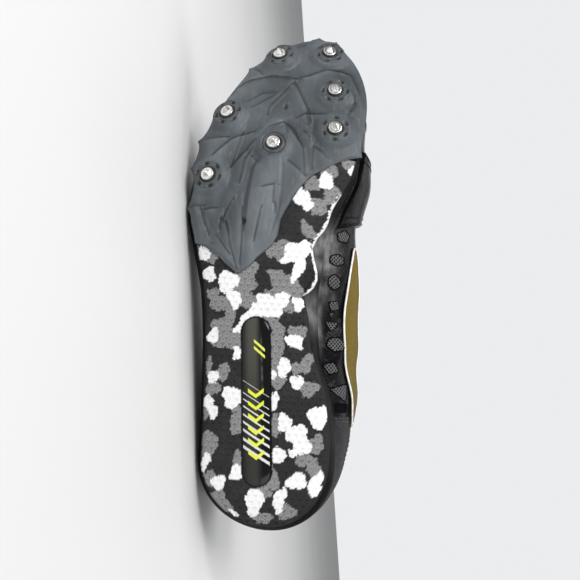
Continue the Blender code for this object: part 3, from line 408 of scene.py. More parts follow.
def ease(low, high, value):
    """0 below low, 1 above high, and a smooth rise between."""
    share = np.clip((value - low) / (high - low), 0.0, 1.0)
    return share * share * (3 - 2 * share)


def end_rounding(along, side):
    """How much of its width the sole keeps near its two ends."""
    heel = np.clip(1 - along / HEEL_ROUND, 0.0, 1.0)
    length = np.where(side < 0, OUTER_TOE_ROUND, INNER_TOE_ROUND)
    power = np.where(side < 0, OUTER_TOE_POWER, 2.0)
    toe = np.clip((along - 1 + length) / length, 0.0, 1.0)
    return np.sqrt(1 - heel ** 2) * (1 - toe ** power) ** (1 / power)


def axis_y(along):
    """The sole's middle line."""
    return TOE_OFFSET * BALL_WIDTH * along ** 2


def edge_y(along, side):
    """The sole's edge at its outer (-1) or inner (1) side."""
    full = side * by_side(SOLE_OUTLINE, 1, along, side) * BALL_WIDTH
    return axis_y(along) + (full - axis_y(along)) * end_rounding(along, side)


def camber(along):
    """How far the sole's edges are lifted over its middle."""
    return HEEL_CAMBER + (BALL_CAMBER - HEEL_CAMBER) * ease(0.30, 0.62, along)


def edge_distance(x, y, flare=0.0):
    """How far a place lies inside the sole's edge, or inside the feather edge."""
    along = np.clip((x + flare) / (SHOE_LENGTH + flare), 0.0, 1.0)
    side = np.where(y > axis_y(along), 1, -1)
    half = np.abs(edge_y(along, side) - axis_y(along)) + flare * end_rounding(along, side)
    return np.minimum(half - np.abs(y - axis_y(along)), np.minimum(x + flare, SHOE_LENGTH - x))


def spring(along):
    """How far the toe spring has lifted the sole."""
    return TOE_SPRING * np.maximum(0.0, (along - SPRING_START) / (1 - SPRING_START)) ** 2


def ground_z(x, y):
    """Height of the tread's underside."""
    along = x / SHOE_LENGTH
    back = HEEL_BEVEL * np.maximum(0.0, 1 - along / 0.07) ** 2
    rim = 1 - edge_distance(x, y) / (CAMBER_REACH * BALL_WIDTH)
    return spring(along) + back + camber(along) * np.clip(rim, 0.0, 1.2) ** 2


def feather_flare(along):
    """How far the feather edge stands out past the tread."""
    return MIDSOLE_FLARE * (1 - ease(0.60, 0.80, along))


def footbed_z(x, y):
    """The midsole's top, which dips between its edges."""
    along = np.clip(x / SHOE_LENGTH, 0.0, 1.0)
    stack = TOE_STACK + (HEEL_STACK - TOE_STACK) * (1 - ease(0.10, 0.85, along))
    rim = 1 - edge_distance(x, y, feather_flare(along)) / (DISH_REACH * BALL_WIDTH)
    return spring(along) + stack + DISH_SHARE * camber(along) * np.clip(rim, 0.0, 1.0) ** 2


def feather(along, side, inset=0.0):
    """The feather edge, where the upper meets the midsole, drawn in by inset."""
    low, high = -MIDSOLE_FLARE + inset, SHOE_LENGTH - inset
    x = low + (high - low) * along
    middle = axis_y(along)
    half = np.abs(edge_y(along, side) - middle) + feather_flare(along) * end_rounding(along, side)
    y = middle + side * half * (1 - inset / (DISH_REACH * BALL_WIDTH))
    return np.stack(np.broadcast_arrays(x, y, footbed_z(x, y)), -1)


def last_point(along, side, turn):
    """A point of the last: turn is 0 at the feather edge, 1 at the widest line, 2 at the crown."""
    along, side, turn = np.broadcast_arrays(along, side, turn)
    foot = feather(along, side)
    bulge = by_side(LAST_SECTIONS, 3, along, side) * BALL_WIDTH * end_rounding(along, side)
    crown = column(LAST_SECTIONS, 1, along) * INSTEP_HEIGHT
    widest = column(LAST_SECTIONS, 2, along) * INSTEP_HEIGHT
    shoulder = column(LAST_SECTIONS, 5, along)
    wide_y = foot[..., 1] + side * bulge
    middle = axis_y(along)
    low = np.clip(turn, 0, 1) * pi / 2
    high = np.clip(turn - 1, 0, 1) * pi / 2
    low_y = foot[..., 1] + (wide_y - foot[..., 1]) * np.sin(low)
    low_rise = widest * (WALL_STRAIGHT * turn + (1 - WALL_STRAIGHT) * (1 - np.cos(low)))
    high_y = middle + (wide_y - middle) * np.maximum(np.cos(high), 0.0) ** shoulder
    high_rise = widest + (crown - widest) * np.sin(high) ** shoulder
    y = np.where(turn <= 1, low_y, high_y)
    rise = np.where(turn <= 1, low_rise, high_rise)
    back = np.maximum(0.0, 1 - along / HEEL_REACH) ** 2
    level = rise / (LAST_SECTIONS[0][1] * INSTEP_HEIGHT)
    swell = HEEL_SWELL * np.sin(pi * np.minimum(level / SWELL_TOP, 1.0))
    lean = HEEL_LEAN * ease(*LEAN_SPAN, level)
    return np.stack((foot[..., 0] + back * (lean - swell), y, foot[..., 2] + rise), -1)


def unit(vectors):
    """The vectors at length 1."""
    return vectors / np.maximum(np.linalg.norm(vectors, axis=-1, keepdims=True), 1e-12)


def last_normal(along, side, turn):
    """The outward normal of the last."""
    along, side, turn = np.broadcast_arrays(along, side, turn)
    step = 0.004
    fore = last_point(np.minimum(along + step, 0.999), side, turn)
    aft = last_point(np.maximum(along - step, 0.001), side, turn)
    high = last_point(along, side, np.minimum(turn + step, 1.999))
    low = last_point(along, side, np.maximum(turn - step, 0.001))
    return unit(np.cross(high - low, fore - aft)) * side[..., None]


def over_last(along, side, turn, lift):
    """A point at a height over the last."""
    lift = np.asarray(lift, float)
    return last_point(along, side, turn) + last_normal(along, side, turn) * lift[..., None]


def top_turn(along, y):
    """Side and turn of the last's point over a place in plan, on its upper half."""
    side = np.where(y >= axis_y(along), 1, -1)
    bulge = by_side(LAST_SECTIONS, 3, along, side)
    wide = feather(along, side)[..., 1] - axis_y(along) + side * bulge * BALL_WIDTH
    shoulder = column(LAST_SECTIONS, 5, along)
    share = np.minimum(np.abs(y - axis_y(along)) / np.abs(wide), 1.0) ** (1 / shoulder)
    return side, 1 + np.arccos(share) / (pi / 2)


def over_top(x, y, lift):
    """A point at a height over the last's top, over a place in plan."""
    along = x / SHOE_LENGTH
    side, turn = top_turn(along, y)
    return over_last(along, side, turn, lift)


def throat_half_width(along):
    """Half the throat's width."""
    return THROAT_WIDTH / 2 * (1 - THROAT_TAPER * ease(COLLAR_FRONT, THROAT_FRONT, along))


def opening_turn(along, side):
    """The turn at which the wall ends, at the collar or at the throat."""
    throat = top_turn(along, axis_y(along) + side * throat_half_width(along))[1]
    rise = ANKLE_HEIGHT + (HEEL_HEIGHT - ANKLE_HEIGHT) * column(COLLAR_LINE, 1, along)
    rise = rise - feather(along, 1)[..., 2]
    crown = column(LAST_SECTIONS, 1, along) * INSTEP_HEIGHT
    widest = column(LAST_SECTIONS, 2, along) * INSTEP_HEIGHT
    share = np.clip((rise - widest) / (crown - widest), 0.02, 1.0)
    collar = 1 + np.arcsin(share ** (1 / column(LAST_SECTIONS, 5, along))) / (pi / 2)
    front = np.where(along >= COLLAR_LINE[-1][0], throat, np.minimum(throat, collar))
    return np.where(along < THROAT_BACK, collar, front)


def ends_close(count, start=0.0, end=1.0):
    """Shares of the length, closer together at a rounded end."""
    places = start + (end - start) * np.linspace(0, 1, count)
    if start == 0.0:
        places = np.where(places < 0.12, 0.12 * (places / 0.12) ** 2, places)
    if end == 1.0:
        places = np.where(places > 0.84, 1 - 0.16 * ((1 - places) / 0.16) ** 2, places)
    return places


# Mesh helpers

def placed(points):
    """Standing points, in the frame."""
    return np.asarray(points).reshape(-1, 3) @ TURN + HEEL_PLACE


def grid_faces(rows, columns, start=0, closed=False):
    """The faces of a grid of points."""
    index = np.arange(rows * columns).reshape(rows, columns) + start
    if closed:
        index = np.concatenate((index, index[:, :1]), 1)
    corners = (index[:-1, :-1], index[:-1, 1:], index[1:, 1:], index[1:, :-1])
    return np.stack(corners, -1).reshape(-1, 4)


def linked(name, data):
    """A new object in the scene."""
    item = bpy.data.objects.new(name, data)
    bpy.context.scene.collection.objects.link(item)
    return item


def piece(name, parts, materials, tones=None, angle=40):
    """A piece from (points, faces, material number) groups, with its faces turned outwards."""
    points, faces, numbers = [], [], []
    for group, group_faces, number in parts:
        group = np.asarray(group, float).reshape(-1, 3)
        offset = sum(len(found) for found in points)
        points.append(placed(group))
        for face in group_faces:
            faces.append([int(corner) + offset for corner in face])
            numbers.append(number)
    mesh = bpy.data.meshes.new(name)
    mesh.from_pydata(np.concatenate(points).tolist(), [], faces)
    for material in materials:
        mesh.materials.append(material)
    mesh.polygons.foreach_set("material_index", numbers)
    if tones is not None:
        layer = mesh.color_attributes.new("tone", "FLOAT_COLOR", "POINT")
        colours = np.ones((len(mesh.vertices), 4))
        colours[:, :3] = np.asarray(tones).reshape(len(mesh.vertices), -1)
        layer.data.foreach_set("color", colours.ravel())
    work = bmesh.new()
    work.from_mesh(mesh)
    bmesh.ops.dissolve_degenerate(work, edges=work.edges, dist=0.0000005)
    bmesh.ops.recalc_face_normals(work, faces=work.faces)
    work.to_mesh(mesh)
    work.free()
    mesh.shade_smooth()
    mesh.set_sharp_from_angle(angle=radians(angle))
    item = linked(name, mesh)
    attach(item, "root")
    return item


def slab(low, high):
    """A closed solid between two grids of points of the same size."""
    rows, columns = low.shape[:2]
    count = rows * columns
    points = np.concatenate((low.reshape(-1, 3), high.reshape(-1, 3)))
    index = np.arange(count).reshape(rows, columns)
    rim = np.concatenate((index[0, :-1], index[:-1, -1], index[-1, :0:-1], index[:0:-1, 0]))
    after = np.roll(rim, -1)
    sides = np.stack((after, rim, rim + count, after + count), -1)
    faces = grid_faces(rows, columns), grid_faces(rows, columns, count)[:, ::-1], sides
    return points, np.concatenate(faces)


def rounded(rows, columns, share_rows, share_columns):
    """1 in the middle of a grid and a round fall to 0 at its edges."""
    def fall(count, share):
        place = np.linspace(0, 1, count)
        near = np.minimum(place, 1 - place)
        return np.sqrt(np.clip(1 - (1 - np.clip(near / share, 0, 1)) ** 2, 0, 1))
    return fall(rows, share_rows)[:, None] * fall(columns, share_columns)[None, :]


def tube(path, radius, segments=8, closed=False, flat=1.0, ways=None):
    """Points and faces of a tube along a path."""
    path = np.asarray(path)
    ahead = np.roll(path, -1, 0) - np.roll(path, 1, 0)
    if not closed:
        ahead[0], ahead[-1] = path[1] - path[0], path[-1] - path[-2]
    ahead = unit(ahead)
    if ways is None:
        ways = np.tile(np.array((0.0, 0.0, 1.0)), (len(path), 1))
        ways = np.where(np.abs(ahead[:, 2:]) > 0.9, np.array((0.0, 1.0, 0.0)), ways)
    across = unit(np.cross(ahead, ways))
    up = unit(np.cross(across, ahead))
    bend = np.arange(segments) / segments * 2 * pi
    ring = across[:, None] * np.cos(bend)[None, :, None]
    ring = ring + up[:, None] * np.sin(bend)[None, :, None] * flat
    points = path[:, None] + ring * radius
    faces = grid_faces(len(path), segments, closed=True)
    if closed:
        last = np.arange(segments) + (len(path) - 1) * segments
        first = np.arange(segments)
        joint = np.stack((last, np.roll(last, -1), np.roll(first, -1), first), -1)
        return points.reshape(-1, 3), list(faces) + list(joint)
    caps = [list(range(segments)), list(range((len(path) - 1) * segments, len(path) * segments))]
    return points.reshape(-1, 3), list(faces) + caps


def grain(x, y, size, seed=0.0):
    """A number from -0.5 to 0.5 for each small square."""
    value = np.sin(np.floor(x / size) * 12.9898 + np.floor(y / size) * 78.233 + seed) * 43758.5453
    return value - np.floor(value) - 0.5


def line_distance(x, y, line):
    """Distance to a line of points, and the side on which it lies."""
    best = np.full(np.shape(x), 1e9)
    side = np.zeros(np.shape(x))
    for (ax, ay), (bx, by) in zip(line, line[1:]):
        way = np.array((bx - ax, by - ay))
        share = ((x - ax) * way[0] + (y - ay) * way[1]) / max(way @ way, 1e-9)
        share = np.clip(share, 0, 1)
        reach = np.hypot(x - ax - share * way[0], y - ay - share * way[1])
        turn = np.sign(way[0] * (y - ay) - way[1] * (x - ax))
        nearer = reach < best
        side = np.where(nearer, turn, side)
        best = np.where(nearer, reach, best)
    return best, side


# Materials

# Grey of the painted reflections on the film and the midsole
PAINTED_REFLECTION_COLOUR = (0.27, 0.27, 0.27)


class Nodes:
    """A Principled material that is put together node by node."""

    def __init__(self, name, colour, roughness, **uniform):
        self.material = bpy.data.materials.new(name)
        self.material.use_nodes = True
        self.tree = self.material.node_tree
        self.shader = self.tree.nodes["Principled BSDF"]
        self.set(self.shader, Base_Color=colour, Roughness=roughness, **uniform)
        self.material.diffuse_color = (*colour, 1.0)
        placing = Matrix([[*TURN.T[i], HEEL_PLACE[i]] for i in range(3)] + [[0, 0, 0, 1]])
        back = placing.inverted()
        self.place = self.add("Mapping", Vector=self.add("TexCoord").outputs["Object"],
                              Location=back.to_translation(), Rotation=back.to_euler()).outputs[0]

    def put(self, socket, value):
        """A link or a plain value into a socket."""
        if isinstance(value, bpy.types.NodeSocket):
            self.tree.links.new(value, socket)
        elif isinstance(value, tuple) and socket.type == "RGBA":
            socket.default_value = (*value, 1.0)
        else:
            socket.default_value = value

    def set(self, node, **inputs):
        for key, value in inputs.items():
            self.put(node.inputs[key.replace("_", " ")], value)

    def add(self, kind, settings=(), **inputs):
        node = self.tree.nodes.new("ShaderNode" + kind)
        for key, value in dict(settings).items():
            setattr(node, key, value)
        self.set(node, **inputs)
        return node

    def math(self, operation, *values):
        node = self.add("Math", {"operation": operation})
        for socket, value in zip(node.inputs, values):
            self.put(socket, value)
        return node.outputs[0]

    def scaled(self, scale):
        """The standing coordinates, stretched."""
        return self.add("Mapping", Vector=self.place, Scale=scale).outputs[0]

    def noise(self, scale, detail, stretch=(1, 1, 1)):
        return self.add("TexNoise", Vector=self.scaled(stretch), Scale=scale, Detail=detail,
                        Roughness=0.55).outputs["Fac"]

    def ramp(self, value, stops):
        node = self.add("ValToRGB", Fac=value)
        ramp = node.color_ramp
        while len(ramp.elements) < len(stops):
            ramp.elements.new(0.5)
        for element, (place, colour) in zip(ramp.elements, stops):
            element.position = place
            element.color = (*colour, 1.0) if isinstance(colour, tuple) else (colour,) * 3 + (1.0,)
        return node.outputs["Color"]

    def mix(self, fac, first, second, blend="MIX"):
        node = self.add("Mix", {"data_type": "RGBA", "blend_type": blend})
        for index, value in ((0, fac), (6, first), (7, second)):
            self.put(node.inputs[index], value)
        return node.outputs[2]

    def tone(self):
        return self.add("VertexColor", {"layer_name": "tone"}).outputs["Color"]

    def painted_reflection(self):
        """The share of painted grey reflection, in streaks along the shoe."""
        streaks = self.ramp(self.noise(240, 4, (0.5, 1, 1)), ((0.30, 0.15), (0.70, 1.0)))
        return self.mix(1.0, self.tone(), streaks, "MULTIPLY")

    def bump(self, *heights):
        """Bumps one over the other, each as (height, distance in metres)."""
        normal = None
        for height, distance in heights:
            node = self.add("Bump", Height=height, Distance=distance, Strength=1.0)
            if normal is not None:
                self.put(node.inputs["Normal"], normal)
            normal = node.outputs["Normal"]
        self.set(self.shader, Normal=normal)

    def colour(self, socket):
        self.set(self.shader, Base_Color=socket)

    def rough(self, value, low, high):
        node = self.add("MapRange", Value=value, To_Min=low, To_Max=high)
        self.set(self.shader, Roughness=node.outputs[0])


# Materials of one cloudy colour: colour and roughness; the cloud's scale, detail and two stops,
# each a place and a colour; scale, detail and range of the roughness; scale, detail and depth of
# the grain; and the shader's own values
PLAIN_MATERIALS = {
    "patch_film": (
        (0.002, 0.002, 0.002), 0.7,
        (300, 3, (0.4, (0.0010, 0.0010, 0.0010)), (0.7, (0.0030, 0.0030, 0.0032))),
        (200, 3, 0.6, 0.8), (900, 3, 0.00008), {"Specular_IOR_Level": 0.04}),
    "gold_film": (
        (0.20, 0.15, 0.02), 0.45,
        (3000, 2, (0.35, (0.070, 0.047, 0.003)), (0.7, (0.165, 0.115, 0.009))),
        (200, 4, 0.30, 0.50), (3000, 2, 0.00004), {"Metallic": 0.2, "Specular_IOR_Level": 0.12}),
    "white_piping": (
        (0.75, 0.75, 0.73), 0.5,
        (300, 4, (0.3, (0.55, 0.54, 0.51)), (0.6, (0.80, 0.80, 0.78))),
        None, (2500, 2, 0.00006), {}),
    "spike_steel": (
        (0.86, 0.85, 0.83), 0.25,
        (700, 4, (0.3, (0.70, 0.69, 0.66)), (0.6, (0.90, 0.89, 0.87))),
        (1500, 3, 0.18, 0.40), (4000, 2, 0.00003), {"Metallic": 1.0}),
    "eyelet_rim": (
        (0.03, 0.03, 0.033), 0.35,
        (900, 3, (0.3, (0.02, 0.02, 0.022)), (0.7, (0.05, 0.05, 0.055))),
        None, (3000, 2, 0.00005), {"Coat_Weight": 0.3}),
    "seam_thread": (
        (0.05, 0.05, 0.054), 0.7,
        (2000, 2, (0.3, (0.03, 0.03, 0.033)), (0.7, (0.09, 0.09, 0.095))),
        (900, 2, 0.55, 0.8), (6000, 2, 0.00003), {"Specular_IOR_Level": 0.3}),
}


def plain_material(name):
    """A material with a cloudy colour, an uneven gloss and a fine grain."""
    colour, roughness, cloud, gloss, fine, uniform = PLAIN_MATERIALS[name]
    m = Nodes(name, colour, roughness, **uniform)
    m.colour(m.ramp(m.noise(*cloud[:2]), cloud[2:]))
    if gloss:
        m.rough(m.noise(*gloss[:2]), *gloss[2:])
    m.bump((m.noise(*fine[:2]), fine[2]))
    return m.material


def plate_material():
    """Moulded plastic, a blue grey with cloudy flow marks and scuffs, darkened by painted shade in
    its creases, pits and rim and lit by painted highlights beside its lines.
    """
    m = Nodes("plate_plastic", (0.11, 0.13, 0.15), 0.5, Specular_IOR_Level=0.35)
    cloud = m.noise(38, 5, (0.5, 1, 1))
    base = m.ramp(cloud, ((0.30, (0.034, 0.040, 0.045)), (0.50, (0.068, 0.079, 0.088)),
                          (0.70, (0.130, 0.148, 0.160))))
    flow = m.noise(160, 4, (0.12, 1, 1))
    base = m.mix(m.math("MULTIPLY", flow, 0.22), base, (0.16, 0.18, 0.20))
    scuff = m.ramp(m.noise(900, 2, (0.10, 1, 1)), ((0.60, 0.0), (0.75, 1.0)))
    base = m.mix(m.math("MULTIPLY", scuff, 0.22), base, (0.28, 0.30, 0.32))
    # the tone is the painted shade and painted highlight of the plate's lines, pits and rim
    m.colour(m.mix(1.0, base, m.tone(), "MULTIPLY"))
    m.rough(flow, 0.42, 0.62)
    m.bump((m.noise(2500, 2), 0.00005), (flow, 0.00015))
    return m.material


def boss_material():
    """The darker plastic round a spike."""
    m = Nodes("plate_boss", (0.05, 0.057, 0.064), 0.45)
    base = m.ramp(m.noise(260, 4), ((0.35, (0.042, 0.048, 0.052)), (0.7, (0.090, 0.102, 0.108))))
    # the tone is painted shade in the cap's grooves and notches
    m.colour(m.mix(1.0, base, m.tone(), "MULTIPLY"))
    m.rough(m.noise(500, 3), 0.35, 0.6)
    m.bump((m.noise(1800, 3), 0.00006))
    return m.material


def tread_material():
    """Rubber with a printed camouflage, slightly worn and dusty."""
    m = Nodes("tread_rubber", (0.2, 0.2, 0.2), 0.72, Specular_IOR_Level=0.15)
    wear = m.noise(420, 5)
    # the tone holds the printed camouflage, with painted shade in its pits and a painted highlight
    # on its lugs
    tone = m.mix(m.math("MULTIPLY", wear, 0.10), m.tone(), (0.08, 0.08, 0.08))
    dust = m.ramp(m.noise(75, 4), ((0.52, 0.0), (0.75, 1.0)))
    m.colour(m.mix(m.math("MULTIPLY", dust, 0.035), tone, (0.42, 0.40, 0.37)))
    m.rough(wear, 0.55, 0.85)
    m.bump((m.noise(3200, 2), 0.00006))
    return m.material


def foam_material():
    """Smooth black moulded foam with fine pores, and grey painted reflections on its inner side."""
    m = Nodes("midsole_foam", (0.008, 0.008, 0.009), 0.45, Specular_IOR_Level=0.10)
    base = m.ramp(m.noise(130, 5), ((0.4, (0.002, 0.002, 0.002)), (0.75, (0.009, 0.009, 0.010))))
    # grey painted reflection mixed into the foam's colour
    m.colour(m.mix(m.painted_reflection(), base, PAINTED_REFLECTION_COLOUR))
    m.rough(m.noise(60, 3), 0.36, 0.62)
    pores = m.add("TexVoronoi", Vector=m.place, Scale=1800.0).outputs["Distance"]
    m.bump((pores, 0.00008))
    return m.material


def film_material(name, painted_reflection=False):
    """Glossy black film, welded over cloth whose weave shows through faintly; the second argument
    mixes in grey patches of painted reflection.
    """
    m = Nodes(name, (0.010, 0.010, 0.012), 0.28, Specular_IOR_Level=0.10)
    base = m.ramp(m.noise(55, 4), ((0.35, (0.002, 0.002, 0.003)), (0.7, (0.009, 0.009, 0.010))))
    # grey painted reflection mixed into the film's colour when asked for
    m.colour(m.mix(m.painted_reflection(), base, PAINTED_REFLECTION_COLOUR) if painted_reflection else base)
    m.rough(m.noise(90, 4), 0.16, 0.34)
    weave = m.add("TexVoronoi", Vector=m.scaled((1, 1.4, 1)), Scale=900.0).outputs["Distance"]
    m.bump((m.noise(110, 3), 0.0006), (weave, 0.00010))
    return m.material


def cloth_material(name, dark, light, pitch, sheen=0.06):
    """A knitted or woven cloth: a net of small cells, with threads that vary in tone."""
    m = Nodes(name, dark, 0.85, Sheen_Weight=sheen, Sheen_Roughness=0.5, Specular_IOR_Level=0.2)
    cells = m.add("TexVoronoi", {"feature": "DISTANCE_TO_EDGE"},
                  Vector=m.scaled((1, 1, 1.6)), Scale=1 / pitch).outputs["Distance"]
    net = m.ramp(cells, ((0.03, 1.0), (0.16, 0.0)))
    base = m.mix(net, dark, light)
    m.colour(m.mix(m.math("MULTIPLY", m.noise(140, 4), 0.4), base, dark))
    m.rough(m.noise(300, 2), 0.75, 0.95)
    m.bump((net, 0.0002), (m.noise(2600, 2), 0.0001))
    return m.material


def mesh_material():
    """Open mesh: crossed threads over dark lining."""
    m = Nodes("window_mesh", (0.03, 0.03, 0.033), 0.8, Specular_IOR_Level=0.15)
    place = m.add("SeparateXYZ", Vector=m.place).outputs
    across = m.math("ADD", place["Z"], m.math("MULTIPLY", place["Y"], 0.7))
    bands = []
    for operation in ("ADD", "SUBTRACT"):
        way = m.math(operation, place["X"], across)
        bands.append(m.math("ABSOLUTE", m.math("SINE", m.math("MULTIPLY", way, pi / 0.0022))))
    net = m.ramp(m.math("MAXIMUM", *bands), ((0.80, 0.0), (0.93, 1.0)))
    light = m.mix(m.noise(260, 3), (0.07, 0.07, 0.073), (0.17, 0.17, 0.175))
    m.colour(m.mix(net, (0.004, 0.004, 0.004), light))
    m.rough(m.noise(300, 2), 0.7, 0.9)
    m.bump((net, 0.0003))
    return m.material


def badge_material():
    """Black lacquer over printed marks, with a painted sheen and a painted glint in its tone."""
    m = Nodes("badge_lacquer", (0.010, 0.010, 0.012), 0.16, Coat_Weight=0.15, Coat_Roughness=0.04,
              Specular_IOR_Level=0.2)
    m.colour(m.mix(m.math("MULTIPLY", m.noise(500, 3), 0.06), m.tone(), (0.04, 0.04, 0.04)))
    m.rough(m.noise(120, 3), 0.10, 0.24)
    m.bump((m.noise(900, 2), 0.00002))
    return m.material


def cord_material():
    """Flat braided cord."""
    m = Nodes("lace_cord", (0.02, 0.02, 0.022), 0.8, Sheen_Weight=0.3)
    braid = m.add("TexWave", {"bands_direction": "DIAGONAL"}, Vector=m.place,
                  Scale=420.0, Distortion=1.0).outputs["Fac"]
    m.colour(m.ramp(braid, ((0.2, (0.010, 0.010, 0.011)), (0.8, (0.045, 0.045, 0.048)))))
    m.rough(braid, 0.7, 0.9)
    m.bump((braid, 0.00015))
    return m.material


# Pieces under the foot

def tread_edge(along, side):
    """The tread's edge, whose inner side is drawn in and out at the waist."""
    edge = edge_y(along, side)
    if side < 0:
        return edge
    inside = (along > WAIST_EDGE[0][0]) & (along < WAIST_EDGE[-1][0])
    return np.where(inside, straight(WAIST_EDGE, 1, along), edge)


def plate_edges(along):
    """The plate's outer and inner edge."""
    outer = edge_y(along, -1) - PLATE_LIP * end_rounding(along, -1)
    inner = edge_y(along, 1) + PLATE_LIP * end_rounding(along, 1)
    rear = along < PLATE_REAR[-1][0]
    outer_cut = straight(PLATE_REAR, 1, along) * BALL_WIDTH
    inner_cut = straight(PLATE_REAR, 2, along) * BALL_WIDTH
    outer = np.where(rear, np.maximum(outer, outer_cut), outer)
    return outer, np.where(rear, np.minimum(inner, inner_cut), inner)


def badge_distance(x, y):
    """How far a place lies outside the badge's edge."""
    dx, dy = x - BADGE_ALONG * SHOE_LENGTH, y - BADGE_ACROSS * BALL_WIDTH
    u = dx * cos(BADGE_TURN) + dy * sin(BADGE_TURN)
    v = dy * cos(BADGE_TURN) - dx * sin(BADGE_TURN)
    straight_half = (BADGE_LENGTH - BADGE_WIDTH) / 2
    return np.hypot(np.maximum(np.abs(u) - straight_half, 0), v) - BADGE_WIDTH / 2


def camouflage(x, y):
    """The tread's tone at places in millimetres."""
    jag_x = x + 0.6 * grain(x, y, 1.2) + 1.1 * grain(x, y, 2.6, 3.0)
    jag_y = y + 0.6 * grain(x, y, 1.2, 7.0) + 1.1 * grain(x, y, 2.6, 5.0)
    tone = np.full(x.shape, TONES["dark"])
    patches = [(name, *row) for name, rows in CAMOUFLAGE.items() for row in rows]
    for name, at_x, at_y, length, width, turn in patches:
        right, down = jag_y - at_y, at_x - jag_x
        bend = radians(turn)
        across = (right * cos(bend) + down * sin(bend)) / (width / 2)
        along = (down * cos(bend) - right * sin(bend)) / (length / 2)
        wobble = 1 + 0.13 * np.sin(3 * np.arctan2(along, across) + at_x * 7)
        tone = np.where(np.hypot(across, along) < wobble, TONES[name], tone)
    return tone


def lattice(x, y):
    """The pits round the tread's lugs, and the lugs' tops, both from 0 to 1."""
    line = np.round(x / LATTICE_ALONG)
    across = y / LATTICE_ACROSS + 0.5 * (line % 2)
    ahead, aside = x - line * LATTICE_ALONG, (across - np.round(across)) * LATTICE_ACROSS
    pit = np.exp(-((np.abs(ahead) + np.abs(aside) - 0.00085) / 0.00036) ** 2)
    dome = np.exp(-(np.hypot(ahead, aside) / 0.0017) ** 6)
    return pit * (1 - 0.8 * (ahead > 0.0005)), dome


def waist_leaf(x, y):
    """The recess inside the waist's edge, from 0 to 1."""
    ahead, aside = x * 1000 - LEAF_PLACE[0], y * 1000 - LEAF_PLACE[1]
    run = (ahead * cos(LEAF_TURN) + aside * sin(LEAF_TURN)) / LEAF_HALVES[0]
    wide = (aside * cos(LEAF_TURN) - ahead * sin(LEAF_TURN)) / LEAF_HALVES[1]
    return 1 - ease(0.8, 1.05, np.abs(wide) + run ** 2)


def make_tread():
    """The rubber sheet with its lattice of small pits, left out under the plate and the badge."""
    rows, columns = 400, 150
    along = ends_close(rows, 0.0, TREAD_END)[:, None]
    low, high = tread_edge(along, -1), tread_edge(along, 1)
    share = np.linspace(0, 1, columns)[None, :]
    y = low + (high - low) * share
    x = along * SHOE_LENGTH + 0 * share
    near_edge = np.minimum(y - low, high - y)
    pit, dome = (form * ease(0.0008, 0.002, near_edge) for form in lattice(x, y))
    leaf, from_badge = waist_leaf(x, y), badge_distance(x, y)
    z = ground_z(x, y) + 0.00055 * pit - 0.00025 * dome
    z = z + 0.0006 * (1 - ease(0.0, 0.0012, near_edge))
    z = z + 0.0009 * leaf * ease(0.0008, 0.0016, high - y)
    z = z + 0.0008 * (1 - ease(0.0, 0.0010, from_badge))
    tone = camouflage(x * 1000, y * 1000)
    jagged = high - y + 0.0005 * grain(x, y, 0.0009) + 0.0006 * grain(x, y, 0.0021, 4.0)
    white = (jagged < 0.0013) & (x > 0.1205) & (x < 0.178)
    tone = np.where(white, np.where(grain(x, y, 0.0007, 2.0) > 0.28, 0.05, 0.72), tone)
    tone = np.where((leaf > 0.4) & ~white, RUBBER_TONE, tone)
    light = tone > 0.5
    # painted shade in the pits round the lugs, and a painted highlight on the lugs' tops, both
    # weaker on white
    tone = tone * np.where(light, 1 - 0.14 * pit, (1 - 0.70 * pit) * (0.74 + 0.44 * dome))
    tone = np.where(near_edge < 0.0002, np.where(white, 0.6, RUBBER_TONE), tone)
    # a painted shade, near black, in the gap round the badge
    tone = np.where(from_badge < 0.0007, 0.008, tone)
    bottom = np.stack((x, y, z), -1)
    lift = np.array((0, 0, OUTSOLE_THICKNESS))
    grid = np.concatenate((bottom[:, :1] + lift, bottom, bottom[:, -1:] + lift), 1)
    side = np.full((rows, 1), RUBBER_TONE)
    tones = np.concatenate((side, tone, side), 1)
    faces = grid_faces(rows, columns + 2)
    x, y = grid.reshape(-1, 3)[faces].mean(1)[:, :2].T
    outer, inner = plate_edges(x / SHOE_LENGTH)
    under = (y > outer + 0.002) & (y < inner - 0.002)
    under &= x > PLATE_REAR[0][0] * SHOE_LENGTH + 0.003
    under |= badge_distance(x, y) < -0.0012
    item = piece("tread", [(grid, faces[~under], 0)], [tread_material()], tones.ravel()[:, None])
    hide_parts("outsole")


